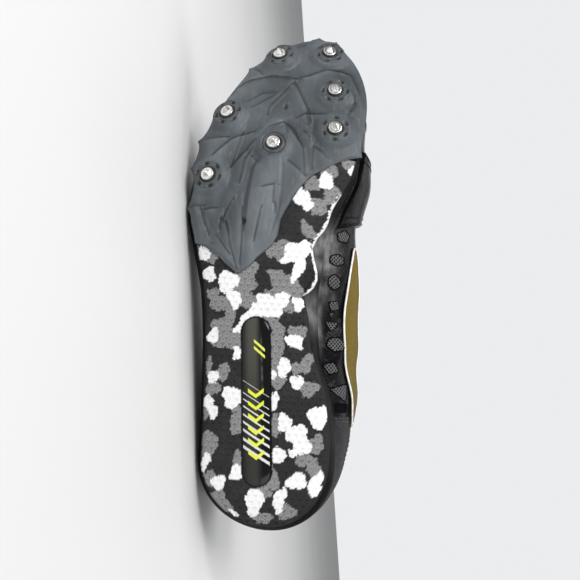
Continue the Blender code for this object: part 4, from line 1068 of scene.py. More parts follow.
def plate_relief(x, y):
    """Height of the plate's moulded lines, and their painted shade and painted highlight, at places
    in millimetres.
    """
    height, shade = np.zeros(x.shape), np.ones(x.shape)
    for kind, line in PLATE_LINES:
        rise, gentle, steep, dark = LINE_FORMS[kind]
        reach, side = line_distance(x, y, line)
        ends = np.minimum(np.hypot(x - line[0][0], y - line[0][1]),
                          np.hypot(x - line[-1][0], y - line[-1][1]))
        taper = 0.25 + 0.75 * ease(0, 5, ends)
        height = height + rise * taper * np.exp(-(reach / np.where(side > 0, gentle, steep)) ** 1.3)
        # painted shade along each line, a wider painted shade on its steep side and a painted
        # highlight on its gentle side
        shade = shade * (1 - dark * np.exp(-(reach / 0.55) ** 2))
        shade = shade * (1 - 0.42 * taper * np.exp(-reach / 2.4) * (side < 0))
        shade = shade * (1 + 0.22 * taper * np.exp(-np.abs(reach - 1.2) / 1.2) * (side > 0))
    for at_x, at_y, radius in PLATE_PITS:
        pit = np.exp(-(np.hypot(x - at_x, (y - at_y) * 1.3) / radius) ** 4)
        # painted shade in each pit
        height, shade = height - 0.9 * pit, shade * (1 - 0.7 * pit)
    outer, inner = straight(KEEL_EDGES, 1, x), straight(KEEL_EDGES, 2, x)
    run = ease(147, 160, x) * (1 - ease(192, 200, x))
    keel = ease(-1.3, 1.3, y - outer) * ease(-1.0, 1.0, inner - y) * run
    edge = np.minimum(np.abs(y - outer + 1.2), np.abs(y - inner - 0.8))
    # painted shade along the keel's edges, and a painted highlight on its raised top
    shade = shade * (1 - 0.45 * run * np.exp(-(edge / 0.6) ** 2))
    return height + 1.5 * keel, shade * (1 + 0.12 * keel)


def draw_out(x, y):
    """The plate's places, with its rim drawn out to a blunt tooth here and there."""
    push_x, push_y = np.zeros(x.shape), np.zeros(x.shape)
    for place, side, size in PLATE_TEETH:
        foot_x, foot_y = place * SHOE_LENGTH, plate_edges(np.array(place))[0 if side < 0 else 1]
        ahead = float(ease(0.86, 1.0, place))
        way = unit(np.array((ahead, side * (1.02 - ahead))))
        inside = -(x - foot_x) * way[0] - (y - foot_y) * way[1]
        aside = np.abs((x - foot_x) * way[1] - (y - foot_y) * way[0])
        push = TOOTH_LENGTH * size * np.exp(-aside / TOOTH_REACH) * (1 - ease(0, 0.009, inside))
        push_x, push_y = push_x + push * way[0], push_y + push * way[1]
    return x + push_x, y + push_y


def ring_grid(radii, heights, segments):
    """A grid of points round +Z: a row for each radius and height."""
    bend = np.arange(segments) / segments * 2 * pi
    x = np.asarray(radii)[:, None] * np.cos(bend)
    y = np.asarray(radii)[:, None] * np.sin(bend)
    return np.stack(np.broadcast_arrays(x, y, np.asarray(heights)[:, None]), -1)


def down_frame(x, y, lift=0.0):
    """A place on the plate, and its frame with the last axis straight down out of the sole."""
    reach = 0.006
    fore = ground_z(x + reach, y) - ground_z(x - reach, y)
    side = ground_z(x, y + reach) - ground_z(x, y - reach)
    down = unit(np.array((fore / (2 * reach), side / (2 * reach), -1.0)))
    first = unit(np.cross((0.0, 1.0, 0.0), down))
    axes = np.stack((first, np.cross(down, first), down))
    return np.array((x, y, ground_z(x, y) - PLATE_PROUD)) + down * lift, axes


def boss_cap(notches):
    """A boss's cap round +Z and its painted shade, dark in its ring groove and notches: with six
    notches from a turn, or else with a groove.
    """
    radii = np.concatenate((np.linspace(0.0090, 0.0045, 26), (0.0043, 0.0041, 0.0024)))
    ring = ring_grid(radii, BOSS_HEIGHT - 0.0009 * ease(0.0078, 0.0090, radii), 96)
    dark = np.full(ring.shape[:2], 1.0)
    dark = dark * (1 - 0.75 * np.exp(-((radii - 0.0043) / 0.0005) ** 2))[:, None]
    ring[..., 2] -= 0.0005 * np.exp(-((radii - 0.0042) / 0.0004) ** 2)[:, None]
    if notches is None:
        groove = np.exp(-((radii - 0.0064) / 0.0005) ** 2)[:, None]
        ring[..., 2] -= 0.0006 * groove
        return ring, dark * (1 - 0.5 * groove)
    for i in range(6):
        bend = radians(notches + 60 * i)
        way = np.array((cos(bend), sin(bend)))
        out = ring[..., :2] @ way - 0.0069
        side = ring[..., 0] * way[1] - ring[..., 1] * way[0]
        notch = np.exp(-(np.abs(out / 0.0009) ** 4 + np.abs(side / 0.0014) ** 4))
        ring[..., 2] -= 0.0011 * notch
        dark = dark * (1 - 0.85 * notch)
    return ring, dark


def make_plate():
    """The moulded plate with its lines, keel, toothed rim and bosses."""
    rows, columns = 330, 190
    first = PLATE_REAR[0][0]
    along = ends_close(rows, first, 1.0)[:, None]
    outer, inner = plate_edges(along)
    share = np.linspace(0, 1, columns)[None, :]
    y = outer + (inner - outer) * share
    x = along * SHOE_LENGTH + 0 * share
    near = np.minimum(np.minimum(y - outer, inner - y), SHOE_LENGTH - x)
    rim = ease(0.0, 0.004, near)
    height, shade = plate_relief(x * 1000, y * 1000)
    x, y = draw_out(x, y)
    z = ground_z(x, y) - PLATE_PROUD * (0.55 + 0.45 * rim) - 0.001 * height * (0.15 + 0.85 * rim)
    for _, place, across, _ in SPIKES:
        centre, axes = down_frame(place * SHOE_LENGTH, across * BALL_WIDTH, BOSS_HEIGHT - 0.00015)
        dx, dy = x - centre[0], y - centre[1]
        level = centre[2] - (dx * axes[2, 0] + dy * axes[2, 1]) / axes[2, 2]
        level = level + 0.0015 * (1 - ease(0.0068, 0.0082, np.hypot(dx, dy)))
        keep = (1 - ease(0.0074, 0.0132, np.hypot(dx, dy))) * ease(0.0, 0.0025, near)
        z = z + (level - z) * keep
        # the painted shade of the lines fades on and round the bosses
        shade = shade + (1 - shade) * 0.7 * keep
    # a painted shadow line along the plate's rim, and another at its rear edge where it stands
    # proud
    shade = shade * (0.35 + 0.65 * ease(0.0, 0.0007, near))
    shade = shade * (0.30 + 0.70 * ease(0.0, 0.0014, x - first * SHOE_LENGTH))
    bottom = np.stack((x, y, z), -1)
    lift = np.array((0, 0, OUTSOLE_THICKNESS))
    grid = np.concatenate((bottom[:, :1] + lift, bottom, bottom[:, -1:] + lift), 1)
    # the plate's side walls take half of the painted shade
    tones = [np.concatenate((shade[:, :1] * 0.5, shade, shade[:, -1:] * 0.5), 1).ravel()]
    parts = [(grid, grid_faces(rows, columns + 2), 0)]
    for _, place, across, notches in SPIKES:
        ring, dark = boss_cap(notches)
        centre, axes = down_frame(place * SHOE_LENGTH, across * BALL_WIDTH)
        parts.append((centre + ring @ axes, grid_faces(*ring.shape[:2], closed=True), 1))
        tones.append(dark.ravel())
    item = piece("plate", parts, [plate_material(), boss_material()],
                 np.concatenate(tones)[:, None], 55)
    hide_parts("spike_plate")


def make_spikes():
    """Steel spikes: a turned flange with a short blunt four-sided point."""
    steel = plain_material("spike_steel")
    top = GAP + FLANGE_THICKNESS
    for name, place, across, _ in SPIKES:
        rings = []
        for half, height, square in (
                (0.0022, -0.0020, 0), (0.0022, GAP, 0), (FLANGE_RADIUS * 0.97, GAP, 0),
                (FLANGE_RADIUS, GAP + 0.00012, 0), (FLANGE_RADIUS, top - 0.00045, 0),
                (FLANGE_RADIUS * 0.975, top - 0.00020, 0), (FLANGE_RADIUS * 0.92, top - 0.00005, 0),
                (FLANGE_RADIUS * 0.84, top, 0), (POINT_WIDTH * 0.60, top - 0.00008, 0.3),
                (POINT_WIDTH * 0.53, top + 0.00010, 0.9), (POINT_WIDTH * 0.46, top + 0.0006, 1),
                (POINT_WIDTH * 0.33, top + 0.6 * POINT_HEIGHT, 1),
                (0.5 * POINT_BLUNT * POINT_WIDTH, top + 0.95 * POINT_HEIGHT, 0.9),
                (0.35 * POINT_BLUNT * POINT_WIDTH, top + POINT_HEIGHT, 0.6)):
            bend = (np.arange(64) + 0.5) / 64 * 2 * pi
            corner = 1 / np.maximum(np.abs(np.cos(bend)), np.abs(np.sin(bend)))
            reach = half * (1 + square * (np.minimum(corner, 1.32) - 1))
            rings.append(np.stack((reach * np.cos(bend), reach * np.sin(bend),
                                   np.full(64, height)), -1))
        grid = np.stack(rings)
        centre, axes = down_frame(place * SHOE_LENGTH, across * BALL_WIDTH, BOSS_HEIGHT)
        faces = list(grid_faces(len(grid), 64, closed=True))
        faces += [list(range(64)), list(range((len(grid) - 1) * 64, len(grid) * 64))]
        item = piece(f"{name}_steel", [(centre + grid.reshape(-1, 3) @ axes, faces, 0)], [steel],
                     angle=28)
        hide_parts(name)


def badge_marks(u, v):
    """Colour of the badge's plain marks over a painted sheen and a painted glint, at places in
    millimetres in its own frame.
    """
    # painted sheen, lighter on one side of the pill
    sheen = 0.050 * ease(-7.4, -3.0, v) * (1 - ease(-0.5, 2.5, v))
    sheen = sheen * (0.35 + 0.65 * ease(-12, 30, u))
    colour = 0.005 + sheen[..., None] * np.array((1.0, 1.0, 0.78))
    # painted glint, a soft streak of reflection along the pill
    glint = 0.09 * np.exp(-((v - 3.6 + 0.02 * u) / 0.45) ** 2)
    glint = glint * ease(2, 10, u) * (1 - ease(30, 36, u))
    glint = glint * (0.55 + 0.45 * np.sin(u * 0.9) * np.sin(u * 0.37 + 1))
    colour = colour + glint[..., None]
    left = -BADGE_WIDTH * 500
    starts = (11.0, 4.7, 1.4, -2.2, -6.5, -10.4, -14.4, -19.0, -22.9)
    for index, start in enumerate(starts):
        middle = start - 0.65 * (v - left)
        strip = np.abs(u - middle) < 0.14 + 0.085 * index
        strip &= np.abs(v) < 7.0
        colour[strip] = (0.62, 0.64, 0.62)
    for index in range(6):
        middle = 4.0 - 6.3 * index
        mark = (np.abs(u - middle + 1.7 - np.abs(v) * 0.75) < 0.95) & (np.abs(v) < 4.1)
        colour[mark] = (0.70, 0.74, 0.05)
    for middle in (27.0, 30.5):
        mark = (np.abs(u - middle + v * 0.9) < 0.8) & (v > -1.0) & (v < 5.0)
        colour[mark] = (0.66, 0.68, 0.10)
    return colour


def make_badge():
    """The domed pill, with hatching and chevrons under its lacquer."""
    radius = BADGE_WIDTH / 2 - GAP / 2
    half = (BADGE_LENGTH - BADGE_WIDTH) / 2
    run = np.linspace(-half, half, 250)
    bend = np.linspace(-pi / 2, pi / 2, 41)[1:-1]
    spine = np.concatenate((run, np.full(39, half), run[::-1], np.full(39, -half)))
    way_u = np.concatenate((0 * run, np.cos(bend), 0 * run, -np.cos(bend)))
    way_v = np.concatenate((0 * run - 1, np.sin(bend), 0 * run + 1, -np.sin(bend)))
    shares = np.linspace(0.0, 1.0, 30)
    u = spine[None, :] + way_u[None, :] * radius * shares[:, None]
    v = way_v[None, :] * radius * shares[:, None]
    dome = BADGE_DOME * np.clip(1 - shares ** 2.4, 0, 1) ** 0.8
    z = -dome[:, None] + 0 * u
    u = np.concatenate((u, u[-1:]))
    v = np.concatenate((v, v[-1:]))
    z = np.concatenate((z, z[-1:] + OUTSOLE_THICKNESS - GAP))
    colours = badge_marks(u * 1000, v * 1000)
    x = BADGE_ALONG * SHOE_LENGTH + u * cos(BADGE_TURN) - v * sin(BADGE_TURN)
    y = BADGE_ACROSS * BALL_WIDTH + u * sin(BADGE_TURN) + v * cos(BADGE_TURN)
    grid = np.stack((x, y, z), -1)
    item = piece("badge_pill", [(grid, grid_faces(*grid.shape[:2], closed=True), 0)],
                 [badge_material()], colours)
    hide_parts("heel_badge")


def make_midsole():
    """The foam wedge, whose side swells between the tread and the upper."""
    rows = 220
    along = ends_close(rows)
    shares = np.linspace(0, 1, 21)
    x = along * SHOE_LENGTH
    low = edge_y(along, -1) + MIDSOLE_INSET * end_rounding(along, -1)
    high = edge_y(along, 1) - MIDSOLE_INSET * end_rounding(along, 1)
    y = low[:, None] + (high - low)[:, None] * shares
    z = ground_z(x[:, None], y) + OUTSOLE_THICKNESS + LAYER_GAP
    bottom = np.stack((x[:, None] + 0 * y, y, z), -1)
    tops = [feather(along, side) for side in (-1, 1)]
    top = tops[0][:, None] + (tops[1] - tops[0])[:, None] * shares[:, None]
    top[..., 2] = footbed_z(top[..., 0], top[..., 1]) - LAYER_GAP

    def flank(side, start, end):
        swell = feather(along, side, -MIDSOLE_BULGE * 1.6)
        swell[:, 2] = start[:, 2] * 0.45 + end[:, 2] * 0.55
        share = np.linspace(0, 1, 11)[1:-1][None, :, None]
        return (start[:, None] * (1 - share) ** 2 + 2 * swell[:, None] * share * (1 - share)
                + end[:, None] * share ** 2)
    loops = np.concatenate((bottom, flank(1, bottom[:, -1], top[:, -1]), top[:, ::-1],
                            flank(-1, top[:, 0], bottom[:, 0])), 1)
    # grey painted reflections on the midsole's inner flank
    painted_reflection = np.zeros(loops.shape[:2])
    for middle, length, strength in FOAM_PAINTED_REFLECTIONS:
        spread = ((loops[..., 0] / SHOE_LENGTH - middle) / length) ** 2
        painted_reflection = np.maximum(painted_reflection, strength * np.exp(-spread) * (loops[..., 1] > 0))
    item = piece("midsole_foam_wedge", [(loops, grid_faces(rows, loops.shape[1], closed=True), 0)],
                 [foam_material()], painted_reflection.ravel()[:, None], angle=50)
    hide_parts("midsole")


# The upper and what lies on it

# Soft folds of the upper: side, start and end on the last (share of the length, turn), depth and
# half width in millimetres
FOLDS = (
    (1, (0.10, 0.30), (0.30, 0.12), 0.9, 4.0),
    (1, (0.06, 0.75), (0.24, 0.62), 0.8, 5.0),
    (1, (0.16, 1.15), (0.22, 0.55), 0.7, 4.0),
    (1, (0.30, 0.15), (0.40, 0.75), -0.8, 4.0),
    (1, (0.36, 0.10), (0.46, 0.60), 0.9, 3.5),
    (1, (0.44, 0.15), (0.52, 0.70), -0.7, 4.0),
    (1, (0.50, 0.12), (0.58, 0.55), 0.8, 3.5),
    (1, (0.56, 1.35), (0.62, 1.80), 0.7, 4.0),
    (1, (0.66, 1.40), (0.68, 1.90), -0.6, 5.0),
    (-1, (0.10, 0.40), (0.30, 0.20), 0.8, 4.0),
    (-1, (0.34, 0.90), (0.46, 0.30), 0.9, 4.5),
    (-1, (0.50, 1.30), (0.60, 0.50), 0.9, 4.5),
    (-1, (0.58, 1.50), (0.70, 0.90), -0.7, 5.0),
    (-1, (0.70, 1.60), (0.80, 1.10), 0.7, 5.0),
    (1, (0.76, 1.20), (0.84, 1.75), 0.6, 5.0),
)

# Grey painted reflections on the film of the inner side, standing in for soft highlights: share of
# the length, turn, half length and half width in the same shares, and strength
FILM_PAINTED_REFLECTIONS = (
    (0.540, 0.04, 0.035, 0.22, 0.90),
    (0.505, 0.10, 0.020, 0.12, 0.70),
    (0.455, 0.03, 0.022, 0.15, 0.60),
    (0.395, 0.00, 0.050, 0.05, 0.80),
    (0.440, 0.20, 0.010, 0.08, 0.35),
)

# Grey painted reflections on the midsole's inner side: share of the length, half length and
# strength
FOAM_PAINTED_REFLECTIONS = (
    (0.540, 0.030, 0.75),
    (0.495, 0.016, 0.55),
    (0.400, 0.030, 0.60),
)


def folded(points, normals, sides):
    """The points, moved along their normals by the folds near them."""
    shift = np.zeros(points.shape[:-1])
    for side, start, end, depth, reach in FOLDS:
        first = last_point(start[0], side, start[1])
        way = last_point(end[0], side, end[1]) - first
        share = np.clip(((points - first) @ way) / (way @ way), 0, 1)
        gap = np.linalg.norm(points - first - share[..., None] * way, axis=-1)
        fade = 0.35 + 0.65 * np.sin(pi * share)
        shift -= depth * 0.001 * fade * np.exp(-(gap * 1000 / reach) ** 2) * (sides == side)
    return points + normals * shift[..., None]


def make_upper():
    """The lasted shell, of cloth at the heel and the toe and glossy film between."""
    rows, low_steps, high_steps, middle_steps = 240, 24, 40, 25
    along = np.sort(np.concatenate((ends_close(rows), (THROAT_FRONT, 0.215, 0.80))))
    sides = []
    for side in (-1, 1):
        end = opening_turn(along, side)
        low = np.linspace(0, 1, low_steps)[None, :] + 0 * along[:, None]
        high = 1 + (end - 1)[:, None] * np.linspace(0, 1, high_steps + 1)[None, 1:]
        sides.append(np.concatenate((low, high), 1))
    middle = np.linspace(-1, 1, middle_steps)[None, 1:-1] + 0 * along[:, None]
    ends = np.where(middle < 0, 2 - sides[0][:, -1:], 2 - sides[1][:, -1:])
    middle_turn = 2 - ends * np.abs(middle)
    turn = np.concatenate((sides[0], middle_turn, sides[1][:, ::-1]), 1)
    side = np.concatenate((sides[0] * 0 - 1, np.where(middle < 0, -1, 1), sides[1] * 0 + 1), 1)
    station = along[:, None] + 0 * turn
    points = last_point(station, side, turn)
    points = folded(points, last_normal(station, side, turn), side)
    hems = [feather(along, way, LASTING_MARGIN)[:, None] for way in (-1, 1)]
    points = np.concatenate((hems[0], points, hems[1]), 1)
    columns = points.shape[1]
    faces = grid_faces(len(along), columns)
    column_of = faces[:, 0] % columns
    row_of = faces[:, 0] // columns
    wall = low_steps + high_steps
    open_faces = (along[row_of] < THROAT_FRONT) & (column_of >= wall)
    open_faces &= column_of < columns - 1 - wall
    faces, row_of = faces[~open_faces], row_of[~open_faces]
    place = along[row_of]
    numbers = np.where((place < 0.2149) | (place > 0.7999), 1, 0)
    # grey painted reflections on the film of the inner side
    painted_reflection = np.zeros(turn.shape)
    for at_along, at_turn, length, width, strength in FILM_PAINTED_REFLECTIONS:
        spread = ((station - at_along) / length) ** 2 + ((turn - at_turn) / width) ** 2
        painted_reflection = np.maximum(painted_reflection, strength * np.exp(-spread) * (side > 0))
    painted_reflection = np.concatenate((painted_reflection[:, :1] * 0, painted_reflection, painted_reflection[:, :1] * 0), 1)
    item = piece_of_shell("upper_shell", points.reshape(-1, 3), faces, numbers, painted_reflection.ravel())
    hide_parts("upper")


def piece_of_shell(name, points, faces, numbers, painted_reflection):
    """The upper's surface with its wall inside it."""
    mesh = bpy.data.meshes.new(name)
    mesh.from_pydata(placed(points).tolist(), [], faces.tolist())
    layer = mesh.color_attributes.new("tone", "FLOAT_COLOR", "POINT")
    layer.data.foreach_set("color", np.repeat(painted_reflection, 4))
    mesh.materials.append(film_material("film_with_painted_reflections", True))
    mesh.materials.append(cloth_material("heel_cloth", (0.009, 0.009, 0.010),
                                         (0.055, 0.055, 0.058), 0.0013))
    mesh.polygons.foreach_set("material_index", numbers.astype(int).tolist())
    work = bmesh.new()
    work.from_mesh(mesh)
    bmesh.ops.remove_doubles(work, verts=work.verts, dist=0.000005)
    loose = [vert for vert in work.verts if not vert.link_faces]
    bmesh.ops.delete(work, geom=loose, context="VERTS")
    bmesh.ops.recalc_face_normals(work, faces=work.faces)
    work.to_mesh(mesh)
    work.free()
    crown = min(mesh.polygons, key=lambda face: face.center.x)
    if crown.normal.x > 0:
        mesh.flip_normals()
    mesh.shade_smooth()
    item = linked(name, mesh)
    wall = item.modifiers.new("wall", "SOLIDIFY")
    wall.thickness = WALL
    wall.offset = -1
    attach(item, "root")
    return item


def overlay(name, along, turn, side, lift, thickness, material, edge=(0.08, 0.08), replaces=()):
    """A thin piece on the last over a grid of places, with rounded edges."""
    rows, columns = along.shape
    top = lift + thickness * (0.25 + 0.75 * rounded(rows, columns, *edge))
    low = over_last(along, side, turn, lift)
    high = over_last(along, side, turn, top)
    points, faces = slab(low, high)
    item = piece(name, [(points, faces, 0)], [material], angle=60)
    if replaces:
        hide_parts(*replaces)
    return item


def make_gold_panel():
    """The lens on the inner quarter, with white piping round it."""
    share = np.linspace(0, 1, 140)[:, None]
    across = np.linspace(-1, 1, 41)[None, :]
    along = PANEL_SPAN[0] + (PANEL_SPAN[1] - PANEL_SPAN[0]) * share + 0 * across
    centre = PANEL_TURNS[0] + (PANEL_TURNS[1] - PANEL_TURNS[0]) * share
    centre = centre + PANEL_BOW * 4 * share * (1 - share)
    full = np.sqrt(np.maximum(0.0, 1 - (2 * share - 1) ** 2))
    half = PANEL_HALF_WIDTH * (PANEL_TIP + (1 - PANEL_TIP) * full)
    turn = centre + half * across
    item = overlay("gold_lens", along, turn, 1, PANEL_LIFT - 0.0004, SKIN + 0.0005,
                   plain_material("gold_film"), (0.02, 0.06), ("gold_panel",))
    rim_along = np.concatenate((along[:, 0], along[::-1, -1]))
    rim_turn = np.concatenate((turn[:, 0], turn[::-1, -1]))
    path = over_last(rim_along, 1, rim_turn, PANEL_LIFT + 0.0006)
    ways = last_normal(rim_along, 1, rim_turn)
    points, faces = tube(path, 0.00065, 8, True, 0.7, ways)
    white = plain_material("white_piping")
    piece("gold_piping", [(points, faces, 0)], [white], angle=80)


def make_strap(film):
    """The gloss strap over the inner side of the ball, with a double piping."""
    share = np.linspace(0, 1, 60)[:, None]
    turn = STRAP_TURNS[0] + (STRAP_TURNS[1] - STRAP_TURNS[0]) * np.linspace(0, 1, 60)[None, :]
    turn = turn + 0 * share
    along = STRAP_SPAN[0] + STRAP_LEAN * turn
    along = along + (STRAP_SPAN[1] - STRAP_SPAN[0] - STRAP_TAPER * turn) * share
    item = overlay("strap", along, turn, 1, STRAP_LIFT - 0.0006, STRAP_THICKNESS + 0.0006, film,
                   (0.05, 0.04), ("forefoot_strap",))
    parts = []
    for row in (3, 8, 50, 55):
        path = over_last(along[row], 1, turn[row], STRAP_LIFT + STRAP_THICKNESS)
        points, faces = tube(path, 0.00045, 8, False, 1.0, last_normal(along[row], 1, turn[row]))
        parts.append((points, faces, 0))
    piece("strap_piping", parts, [film], angle=80)


def make_tongue():
    """The padded strip under the throat."""
    depth = WALL + TONGUE_GAP
    share = ends_close(110)[:, None]
    across = np.linspace(-1, 1, 45)[None, :]
    front, back = THROAT_FRONT + TONGUE_FRONT, COLLAR_FRONT - TONGUE_BACK
    along = front + (back - front) * share + 0 * across
    half = TONGUE_WIDTH / 2 * (TONGUE_TIP + (1 - TONGUE_TIP) * ease(0.0, 0.7, share))
    half = half * (1 - (1 - TONGUE_TOP) * ease(0.7, 1.0, share))
    half = half * np.sqrt(np.clip(1 - (np.clip(share - 0.86, 0, 1) / 0.142) ** 2, 0.02, 1))
    wave = 0.0022 * ease(0.70, 1.0, share) * (1 - 1.3 * across ** 2)
    wave = wave + 0.0005 * np.sin(38 * share + 3 * across) * ease(0.6, 0.8, share)
    y = axis_y(along) + half * across
    side, turn = top_turn(along, y)
    fat = rounded(110, 45, 0.05, 0.14)
    channel = 1 - 0.35 * np.exp(-((np.abs(across) - 0.55) / 0.06) ** 2) * ease(0.0, 0.1, share)
    upper = -(depth + TONGUE_THICKNESS * 0.5 * (1 - fat * channel))
    lower = -(depth + TONGUE_THICKNESS * (0.5 + 0.5 * fat))
    high = over_last(along, side, turn, upper + wave)
    low = over_last(along, side, turn, lower + wave)
    points, faces = slab(low, high)
    cloth = cloth_material("tongue_cloth", (0.016, 0.016, 0.018), (0.055, 0.055, 0.060), 0.0014)
    item = piece("tongue_pad", [(points, faces, 0)], [cloth], angle=70)
    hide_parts("tongue")


def throat_path(count):
    """The throat's edge in plan, from the collar on the outer side round to the inner side, with
    the outward directions."""
    start = (COLLAR_FRONT + EYESTAY_BACK) * SHOE_LENGTH
    half = float(throat_half_width(np.array(THROAT_FRONT)))
    end = THROAT_FRONT * SHOE_LENGTH - 0.6 * half
    run = start + (end - start) * np.arange(count) / count
    along = run / SHOE_LENGTH
    bend = np.linspace(-pi / 2, pi / 2, 40)
    middle = float(axis_y(np.array(THROAT_FRONT)))
    x = np.concatenate((run, end + half * 1.15 * np.cos(bend), run[::-1]))
    low, high = axis_y(along) - throat_half_width(along), axis_y(along) + throat_half_width(along)
    y = np.concatenate((low, middle + half * np.sin(bend), high[::-1]))
    way_x = np.concatenate((0 * run, np.cos(bend), 0 * run))
    way_y = np.concatenate((0 * run - 1, np.sin(bend), 0 * run + 1))
    return x, y, way_x, way_y


def eyelet_places():
    """Rows of eyelets from the front: x, outer y and inner y."""
    along = np.linspace(THROAT_FRONT - EYELET_FRONT, COLLAR_FRONT + EYELET_BACK, EYELET_ROWS)
    reach = throat_half_width(along) + 0.5 * EYESTAY_WIDTH
    return along * SHOE_LENGTH, axis_y(along) - reach, axis_y(along) + reach


def make_eyestay(film):
    """The reinforcement round the throat, with punched eyelets."""
    x, y, way_x, way_y = throat_path(90)
    reach = np.linspace(EYESTAY_LIP, EYESTAY_WIDTH, 21)[None, :]
    place_x, place_y = x[:, None] + way_x[:, None] * reach, y[:, None] + way_y[:, None] * reach
    side, turn = top_turn(place_x / SHOE_LENGTH, place_y)
    item = overlay("eyestay_film", place_x / SHOE_LENGTH, turn, side, GAP - 0.0003, SKIN + 0.0003,
                   film, (0.02, 0.10), ("eyestay",))
    rims = []
    for x_row, low, high in zip(*eyelet_places()):
        for y_row in (low, high):
            bend = np.arange(24) / 24 * 2 * pi
            ring_x, ring_y = x_row + 0.0019 * np.cos(bend), y_row + 0.0019 * np.sin(bend)
            ring_side, ring_turn = top_turn(ring_x / SHOE_LENGTH, ring_y)
            path = over_last(ring_x / SHOE_LENGTH, ring_side, ring_turn, SKIN + 0.0002)
            rims.append((*tube(path, 0.0005, 8, True), 0))
    piece("eyelet_rims", rims, [plain_material("eyelet_rim")], angle=80)


def make_lace():
    """The lace's crossings, flat and slightly arched over the tongue."""
    cord = cord_material()
    x, low, high = eyelet_places()
    lift = GAP + SKIN + LACE_GAP
    runs = [((x[0], low[0]), (x[0], high[0]), 0.0)]
    for i in range(EYELET_ROWS - 1):
        runs.append(((x[i], low[i]), (x[i + 1], high[i + 1]), 0.0))
        runs.append(((x[i], high[i]), (x[i + 1], low[i + 1]), 0.0006))
    parts = []
    for start, end, over in runs:
        start, end = np.array(start), np.array(end)
        run = (end - start) / np.linalg.norm(end - start)
        aside = np.array((-run[1], run[0]))
        share = np.linspace(0, 1, 40)[:, None]
        across = np.linspace(-0.5, 0.5, 9)[None, :]
        px = start[0] + (end - start)[0] * share + aside[0] * LACE_WIDTH * across
        py = start[1] + (end - start)[1] * share + aside[1] * LACE_WIDTH * across
        rise = over * np.exp(-((share - 0.5) / 0.16) ** 2) - 0.0010 * (1 - ease(0, 0.07, share))
        rise = rise - 0.0010 * (1 - ease(0, 0.07, 1 - share)) + 0 * across
        bottom = over_top(px, py, lift + rise)
        fat = LACE_THICKNESS * (0.3 + 0.7 * rounded(40, 9, 0.03, 0.3))
        top = over_top(px, py, lift + rise + fat)
        parts.append((*slab(bottom, top), 0))
    item = piece("lace_crossings", parts, [cord], angle=60)
    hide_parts("lace")


def stitches(path, ways, pitch=0.0024, share=0.62):
    """A row of short threads along a path, each a small bent capsule."""
    steps = np.linalg.norm(np.diff(path, axis=0), axis=1)
    run = np.concatenate(((0,), np.cumsum(steps)))
    parts = []
    for start in np.arange(0, run[-1] - pitch, pitch):
        places = start + pitch * share * np.array((0.0, 0.12, 0.5, 0.88, 1.0))
        line = np.stack([np.interp(places, run, path[:, i]) for i in range(3)], -1)
        out = unit(np.stack([np.interp(places, run, ways[:, i]) for i in range(3)], -1))
        line = line + out * np.array((-0.0002, 0.0001, 0.00022, 0.0001, -0.0002))[:, None]
        points, faces = tube(line, 0.00024, 6, ways=out)
        parts.append((points, faces, 0))
    return parts


def make_stitches():
    """Seams of the eyestay, the collar and the places where cloth and film meet."""
    parts = []
    x, y, way_x, way_y = throat_path(90)
    for reach, lift in ((EYESTAY_WIDTH - 0.0013, GAP + SKIN), (EYESTAY_LIP + 0.0014, GAP + SKIN)):
        side, turn = top_turn((x + way_x * reach) / SHOE_LENGTH, y + way_y * reach)
        along = (x + way_x * reach) / SHOE_LENGTH
        path = over_last(along, side, turn, lift)
        parts += stitches(path, last_normal(along, side, turn))
    for side in (-1, 1):
        for place, last_turn in ((0.212, None), (0.206, None), (0.803, 2.0), (0.809, 2.0)):
            along = np.full(120, place)
            top = last_turn or float(opening_turn(np.array(place), side)) - 0.05
            turn = np.linspace(0.04, top, 120)
            at = last_point(along, side, turn)
            out = last_normal(along, side, np.minimum(turn, 1.98))
            parts += stitches(folded(at, out, side) + out * 0.0001, out)
        along = np.linspace(0.004, COLLAR_FRONT - 0.01, 200)
        edge = opening_turn(along, side)
        lower = edge - 0.10
        at = last_point(along, side, lower)
        out = last_normal(along, side, lower)
        parts += stitches(folded(at, out, side) + out * 0.0001, out, 0.0028)
    thread = plain_material("seam_thread")
    piece("seam_stitches", parts, [thread], angle=80)


def make_collar():
    """A knitted binding round the collar's edge."""
    along = np.concatenate((np.linspace(COLLAR_FRONT + EYESTAY_BACK, 0.02, 120),
                            0.02 * np.cos(np.linspace(0, pi / 2, 12))[1:]))
    outer = over_last(along, -1, opening_turn(along, -1), -WALL / 2)
    inner = over_last(along, 1, opening_turn(along, 1), -WALL / 2)
    path = np.concatenate((outer, inner[-2::-1]))
    points, faces = tube(path, 0.0014, 12)
    cloth = cloth_material("collar_binding", (0.014, 0.014, 0.016), (0.05, 0.05, 0.055), 0.0009)
    piece("collar_binding", [(points, faces, 0)], [cloth], angle=80)


# Mesh windows in the inner side's film: share of the length, turn, half length and half width in
# millimetres, corners, turn of the first corner in degrees, and 1 where film fills the window
WINDOWS = (
    (0.564, 0.37, 4.0, 5.8, 5, 0, 0),
    (0.516, 0.26, 3.8, 5.4, 6, 0, 0),
    (0.472, 0.23, 4.8, 4.4, 6, 0, 0),
    (0.426, 0.26, 3.8, 4.6, 4, 30, 0),
    (0.409, 0.22, 2.2, 2.4, 3, 180, 0),
    (0.388, 0.23, 4.0, 5.6, 3, 60, 0),
    (0.352, 0.28, 4.6, 6.6, 6, 20, 0),
    (0.306, 0.17, 4.2, 5.6, 4, 25, 0),
    (0.262, 0.28, 6.6, 8.6, 3, 40, 0),
    (0.232, 0.26, 3.6, 6.6, 4, 45, 1),
)


